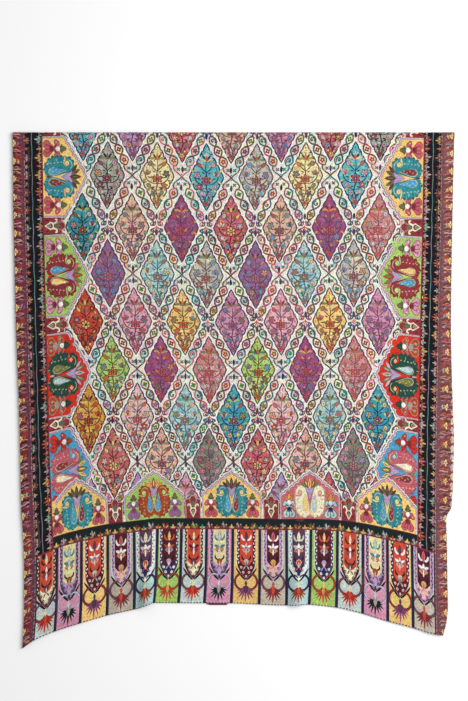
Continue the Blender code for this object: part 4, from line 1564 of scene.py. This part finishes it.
def past_rim(places, steps):
    """Places a little outside the painted side's own, for the cloth's cut edge."""
    half = np.array(MAP_SIZE) / 2
    from_middle = places - MAP_EDGE - half
    at_edge = abs(from_middle) > half - MAP_STEP / 2
    return places + np.sign(from_middle) * at_edge * MAP_STEP * steps


def make_piece(name, points, parts, material):
    """A mesh from parts, each of faces with their tones, picture places and looks.

    Faces are lists of point numbers. Tones are one for each face, and the flat places, picture
    places and looks are one for each corner.
    """
    mesh = bpy.data.meshes.new(name)
    faces = [tuple(face) for part in parts for face in part[0]]
    mesh.from_pydata([tuple(p) for p in points], [], faces)
    mesh.update()
    tones = np.vstack([np.repeat(np.array(part[1]), [len(f) for f in part[0]], axis=0) for part in parts])
    ink = mesh.attributes.new("ink", "FLOAT_COLOR", "CORNER")
    ink.data.foreach_set("color", np.hstack([tones, np.ones((len(tones), 1))]).astype(np.float32).ravel())
    for layer, k in (("cloth", 2), ("OFBake", 3)):
        places = np.vstack([part[k] for part in parts]).astype(np.float32)
        mesh.uv_layers.new(name=layer).uv.foreach_set("vector", places.ravel())
    mesh.shade_smooth()
    mesh.normals_split_custom_set([tuple(n) for n in np.vstack([part[4] for part in parts])])
    mesh.materials.append(material)
    made = bpy.data.objects.new(name, mesh)
    bpy.context.collection.objects.link(made)
    print(name, len(faces), "faces")
    return made


def side_looks(points, faces):
    """The way that each flat side face looks, for each of its corners."""
    a, b, c = (points[[f[i] for f in faces]] for i in range(3))
    return np.repeat(unit(np.cross(b - a, c - a)), [len(f) for f in faces], axis=0)


def face_part(triangles, tones, spots, mapped, looks, first=0):
    """A flat or curved face, as make_piece takes it. Its points are numbered from first."""
    corner = triangles.ravel()
    return triangles + first, tones, spots[corner] * MM, mapped[corner], looks[corner]


def rim_part(points, rings, painted_shades, steps, rim_tones, around, mapped):
    """The faces from each ring of points to the next, as make_piece takes them, their print's colours
    darkened by painted shade.
    """
    faces, tones, flat, places = [], [], [], []
    for k, (lower, upper) in enumerate(zip(rings, rings[1:], strict=False)):
        past = [past_rim(mapped, steps[k]), past_rim(mapped, steps[k + 1])]
        for i in range(len(around)):
            j = (i + 1) % len(around)
            corners = [(lower[j], 0, j), (lower[i], 0, i), (upper[i], 1, i), (upper[j], 1, j)]
            if upper[i] == upper[j]:
                corners.pop()
            faces.append([number for number, _, _ in corners])
            # Painted shade: each wall takes its print's colour, darkened by its ring's painted shade
            tones.append(rim_tones[i] * painted_shades[k])
            flat += [around[n] * MM for _, _, n in corners]
            places += [past[m][n] for _, m, n in corners]
    return faces, tones, flat, places, side_looks(points, faces)


def shell(name, place, box, material, steps):
    """A thin closed shell of cloth over a stretch of the print. Box is in flat mm."""
    outline = outline_of(*box, *np.minimum(steps, 8.0))
    spots, triangles, tones = cut(outline, grid(*box, *steps), shapes_over(box))
    triangles = triangles[:, ::-1]
    loop, owners = rim_edges(triangles)
    around, count = spots[loop], len(spots)
    back_spots, back_triangles, _ = cut(around, grid(*box, *(2 * s for s in steps)), [])
    below = matched(back_spots, around) + count

    look, back_look = (normals(place, *(p.T * MM)) for p in (spots, back_spots))
    points = np.vstack([place(*(spots.T * MM)), place(*(back_spots.T * MM)) - CLOTH * back_look])
    mapped, back_map = map_places(spots, box), strip_places(back_spots, box)
    dark = [INKS["reverse"]] * len(back_triangles)
    parts = (
        face_part(triangles, tones, spots, mapped, look),
        face_part(back_triangles, dark, back_spots, back_map, -back_look, count),
        rim_part(points, (loop, below), (RIM_PAINTED_SHADE,), (0, 4), tones[owners], around, mapped[loop]),
    )
    return make_piece(name, points, parts, material)


def hidden_place(u, v):
    """The hidden half's outline in plan: inside the upper half, past it at one place."""
    x, y = plan(u, v)
    at_peek = eased((u - PEEK_FROM) / PEEK_SOFT) * eased((PEEK_TO - u) / PEEK_SOFT)
    at_hem = eased((v - (HEM_V - HEM_TAPER)) / HEM_TAPER)
    return x, y + (HIDDEN_INSET - (HIDDEN_INSET + PEEK) * at_peek) * at_hem


def hidden_side(side, v):
    """How far across the hidden half reaches at v, in flat mm."""
    return side * (reach(side, v * MM) - HIDDEN_INSET - EDGE_ROUND) / MM


def hidden_outline(first_v):
    """The hidden half's outline in flat mm, from its left side round by the hem."""
    vs = np.linspace(first_v, HEM, HIDDEN_SIDE_COUNT)
    foot = np.linspace(hidden_side(-1, HEM), hidden_side(1, HEM), HIDDEN_FOOT_COUNT)
    top = np.linspace(hidden_side(1, first_v), hidden_side(-1, first_v), HIDDEN_SIDE_COUNT)
    outline = [(hidden_side(-1, v), v) for v in vs] + [(u, HEM) for u in foot[1:]]
    outline += [(hidden_side(1, v), v) for v in vs[-2::-1]] + [(u, first_v) for u in top[1:-1]]
    return np.array(outline, float)


def out_of_hidden(u, v):
    """The way out of the hidden half at places on its rim, in plan."""
    at_side = np.where(abs(abs(u) - abs(hidden_side(np.sign(u), v))) < 0.01, np.sign(u), 0)
    at_hem = (v > HEM - 0.01).astype(float)
    x, y = hidden_place(u * MM, v * MM)
    ahead_x, ahead_y = hidden_place((u + at_side) * MM, (v + at_hem) * MM)
    return unit(np.stack([ahead_x - x, ahead_y - y], axis=-1))


def hidden_points(spots, height):
    """Points of the hidden half over flat places, at a height."""
    x, y = hidden_place(*(spots.T * MM))
    return np.stack([x, y, height + 0 * x], axis=-1)


def hidden_piece(material):
    """The hidden half: a printed face down on the surface, grooved sides and a plain top."""
    first_v = (FOLD_V + 1.5 * SEAM) / MM
    box = (-END_U, END_U, first_v, HEM)
    grid_side = INNER - HIDDEN_GRID_INSET
    within = grid(-grid_side, grid_side, first_v, HEM, *HIDDEN_STEPS)
    spots, triangles, tones = cut(hidden_outline(first_v), within, shapes_over(box, HIDDEN_LEAST))
    loop, owners = rim_edges(triangles)
    around, count, ring = spots[loop], len(spots), len(loop)
    top_spots, top_triangles, _ = cut(around, within, [])
    above = matched(top_spots, around)

    floor_points = hidden_points(spots, 0.0)
    top_points = hidden_points(top_spots, hidden_top(*(top_spots.T * MM)))
    height = top_points[above][:, 2]
    two_layers = height > 0.8 * HIDDEN_HEIGHT
    groove = EDGE_ROUND * (1 - two_layers * EDGE_GROOVE / EDGE_ROUND)
    levels = []
    for share, by in zip(RING_SHARES, (EDGE_ROUND, groove, EDGE_ROUND), strict=True):
        level = floor_points[loop]
        level[:, :2] += out_of_hidden(*around.T) * np.reshape(by, (-1, 1))
        level[:, 2] = height * share
        levels.append(level)
    points = np.vstack([floor_points, *levels, top_points])

    first = count + len(levels) * ring
    rings = [loop, *[range(start, start + ring) for start in range(count, first, ring)], above + first]
    mapped, top_map = map_places(spots, box), strip_places(top_spots, box)
    look_down, look_up = np.tile((0.0, 0.0, -1.0), (count, 1)), np.tile((0.0, 0.0, 1.0), (len(top_spots), 1))
    dark = [INKS["reverse"]] * len(top_triangles)
    parts = (
        face_part(triangles, tones, spots, mapped, look_down),
        face_part(top_triangles[:, ::-1], dark, top_spots, top_map, look_up, first),
        rim_part(points, rings, RING_PAINTED_SHADES, range(5), tones[owners], around, mapped[loop]),
    )
    return make_piece("hidden_half_cloth", points, parts, material)


def cloth_material(name):
    """Printed cloth: the print's own colours, uneven dye, threads and a soft nap."""
    made = bpy.data.materials.new(name)
    made.use_nodes = True
    tree = made.node_tree

    def fill(node, inputs):
        """Sets a node's inputs, or links them to other nodes' outputs."""
        for key, value in inputs.items():
            if isinstance(value, bpy.types.NodeSocket):
                tree.links.new(value, node.inputs[key])
            else:
                node.inputs[key].default_value = value

    def add(kind, output, inputs, **settings):
        """A new node's output."""
        node = tree.nodes.new("ShaderNode" + kind)
        for key, value in settings.items():
            setattr(node, key, value)
        fill(node, inputs)
        return node.outputs[output]

    def noise(scale, detail, stretch=(1, 1, 1), output="Fac"):
        """Noise on the flat cloth, drawn out one way by stretch."""
        where = add("Mapping", "Vector", {"Vector": places, "Scale": stretch})
        return add("TexNoise", output, {"Vector": where, "Scale": scale, "Detail": detail})

    def remap(value, low, high, to_low, to_high):
        """A value from between two limits brought between two others."""
        limits = {"From Min": low, "From Max": high, "To Min": to_low, "To Max": to_high}
        return add("MapRange", "Result", {"Value": value, **limits})

    def threads(direction, scale):
        """The fine waves of the threads one way."""
        bends = {"Distortion": 1.2, "Detail": 1.0, "Detail Scale": 0.6}
        inputs = {"Vector": places, "Scale": scale, **bends}
        return add("TexWave", "Fac", inputs, bands_direction=direction)

    def times(a, b):
        """Two values multiplied."""
        return add("Math", 0, {0: a, 1: b}, operation="MULTIPLY")

    def scaled(colour, by):
        """A colour made lighter or darker."""
        return add("VectorMath", "Vector", {0: colour, "Scale": by}, operation="SCALE")

    ink = add("Attribute", "Color", {}, attribute_name="ink")
    places = add("UVMap", "UV", {}, uv_map="cloth")
    dye = remap(noise(30, 3), 0.3, 0.7, 0.9, 1.08)
    fleck = remap(noise(420, 2), 0.3, 0.7, 0.8, 1.18)
    slub = remap(noise(9, 2, (1, 60, 1)), 0.35, 0.65, 0.95, 1.04)
    weave = times(threads("X", 260), threads("Y", 300))
    stitch = remap(noise(640, 2, (1, 0.55, 1)), 0.56, 0.7, 1.0, 0.62)
    light = times(times(times(dye, fleck), times(slub, remap(weave, 0, 1, 0.9, 1.1))), stitch)
    hues = scaled(noise(300, 2, output="Color"), 1.8)
    shift = add("VectorMath", "Vector", {0: hues, 1: (0.1, 0.1, 0.1)}, operation="ADD")
    shifted = add("VectorMath", "Vector", {0: ink, 1: shift}, operation="MULTIPLY")
    relief = add("Math", 0, {0: weave, 1: times(noise(160, 3), 0.7)}, operation="ADD")
    bump = {"Strength": 0.5, "Distance": 0.6 * MM, "Height": relief}
    looks = {"Base Color": scaled(shifted, light), "Normal": add("Bump", "Normal", bump), **MATT}
    fill(tree.nodes["Principled BSDF"], looks)
    return made


paint_print()
print("shapes", len(PRINT))

# Each piece: its name, nodes it stands for, surface, box of flat cloth in mm, slot and grid steps
SPLITS_V = (300, 580)
END_NODES = ("end_panel_left", "end_ridge_left", "end_panel_middle", "end_ridge_right", "end_panel_right")
FOLD_ENDS = (-reach(-1, 0.0) / MM, reach(1, 0.0) / MM)
FIELD, BAND, BORDER, PANEL = "field_cloth", "dark_band_cloth", "star_border_cloth", "end_panel_cloth"
REVERSE = "reverse_cloth"
LEFT_BOX, RIGHT_BOX = (-END_U, -INNER, TOP, HEM), (INNER, END_U, TOP, HEM)
STRETCHES = (
    ("field_top", ["field"], front, (-HALF, HALF, TOP, SPLITS_V[0]), FIELD, (12, 12)),
    ("field_middle", ["field"], front, (-HALF, HALF, *SPLITS_V), FIELD, (12, 12)),
    ("field_foot", ["field"], front, (-HALF, HALF, SPLITS_V[1], CROSS), FIELD, (12, 12)),
    ("dark_band_left_cloth", ["dark_band_left"], front, (-INNER, -HALF, TOP, END), BAND, (8, 10)),
    ("dark_band_right_cloth", ["dark_band_right"], front, (HALF, INNER, TOP, END), BAND, (8, 10)),
    ("dark_band_cross_cloth", ["dark_band_cross"], front, (-HALF, HALF, CROSS, END), BAND, (8, 8)),
    ("end_panel_cloth", END_NODES, front, (-INNER, INNER, END, HEM), PANEL, (9, 9)),
    ("star_border_left_cloth", ["star_border_left"], border_place, LEFT_BOX, BORDER, (2.4, 5)),
    ("star_border_right_cloth", ["star_border_right"], border_place, RIGHT_BOX, BORDER, (2.4, 5)),
    ("fold_cloth", ["fold"], fold_place, (*FOLD_ENDS, FOLD_END / MM, TOP), FIELD, (5, 1.6)),
)


def dress(piece, nodes, slot, flat, **rests):
    """Puts a piece under the root and hides the parts that it stands for; its slot, flat size and rests are
    not used.
    """
    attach(piece, "root")
    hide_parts(*nodes)


finishes = {slot: cloth_material(slot) for slot in (FIELD, BAND, BORDER, PANEL, REVERSE)}
for name, nodes, place, box, slot, steps in STRETCHES:
    low_u, high_u, low_v, high_v = box
    flat = ((high_u - low_u) * MM, (high_v - low_v) * MM)
    dress(shell(name, place, box, finishes[slot], steps), nodes, slot, flat, rests_on=["hidden_half"])
hidden_width = hidden_side(1, HIDDEN_WIDTH_V) - hidden_side(-1, HIDDEN_WIDTH_V)
flat = (hidden_width * MM, HEM_V - FOLD_V - SEAM / 2)
dress(hidden_piece(finishes[REVERSE]), ["hidden_half"], REVERSE, flat)

# The floor, the world, the light and the camera
FLOOR_REACH = 6.0
FLOOR_BELOW = 0.0004
FLOOR_LOOKS = {"Base Color": (0.96, 0.96, 0.96, 1), "Roughness": 0.9, "Specular IOR Level": 0.1}
WORLD_STRENGTH = 0.53
KEY_PLACE = (1.7, 0.5, 2.2)
KEY_SIZE = 2.0
KEY_POWER = 68
CAMERA_PLACE = (0.0009, 0.0888, 3.03)
CAMERA_LENS = 70


def stand(name, data, place=(0, 0, 0)):
    """Puts something of the stage in its place."""
    made = bpy.data.objects.new(name, data)
    made.location = place
    bpy.context.collection.objects.link(made)
    return made


floor_mesh = bpy.data.meshes.new("floor")
corners = block(-FLOOR_REACH, FLOOR_REACH, -FLOOR_REACH, FLOOR_REACH)
floor_mesh.from_pydata([(x, y, -FLOOR_BELOW) for x, y in corners], [], [(0, 1, 2, 3)])
plain = bpy.data.materials.new("pale_floor")
plain.use_nodes = True
for key, value in FLOOR_LOOKS.items():
    plain.node_tree.nodes["Principled BSDF"].inputs[key].default_value = value
floor_mesh.materials.append(plain)
stand("floor", floor_mesh)

world = bpy.data.worlds.new("studio")
world.use_nodes = True
world.node_tree.nodes["Background"].inputs["Color"].default_value = (1, 1, 1, 1)
world.node_tree.nodes["Background"].inputs["Strength"].default_value = WORLD_STRENGTH
bpy.context.scene.world = world

key_data = bpy.data.lights.new("key", "AREA")
key_data.size = KEY_SIZE
key_data.energy = KEY_POWER
key_light = stand("key", key_data, KEY_PLACE)
key_light.rotation_euler = (-Vector(KEY_PLACE)).to_track_quat("-Z", "Y").to_euler()

camera_data = bpy.data.cameras.new("camera")
camera_data.lens = CAMERA_LENS
camera_data.sensor_width = 36
bpy.context.scene.camera = stand("camera", camera_data, CAMERA_PLACE)
bpy.context.scene.view_settings.view_transform = "Standard"
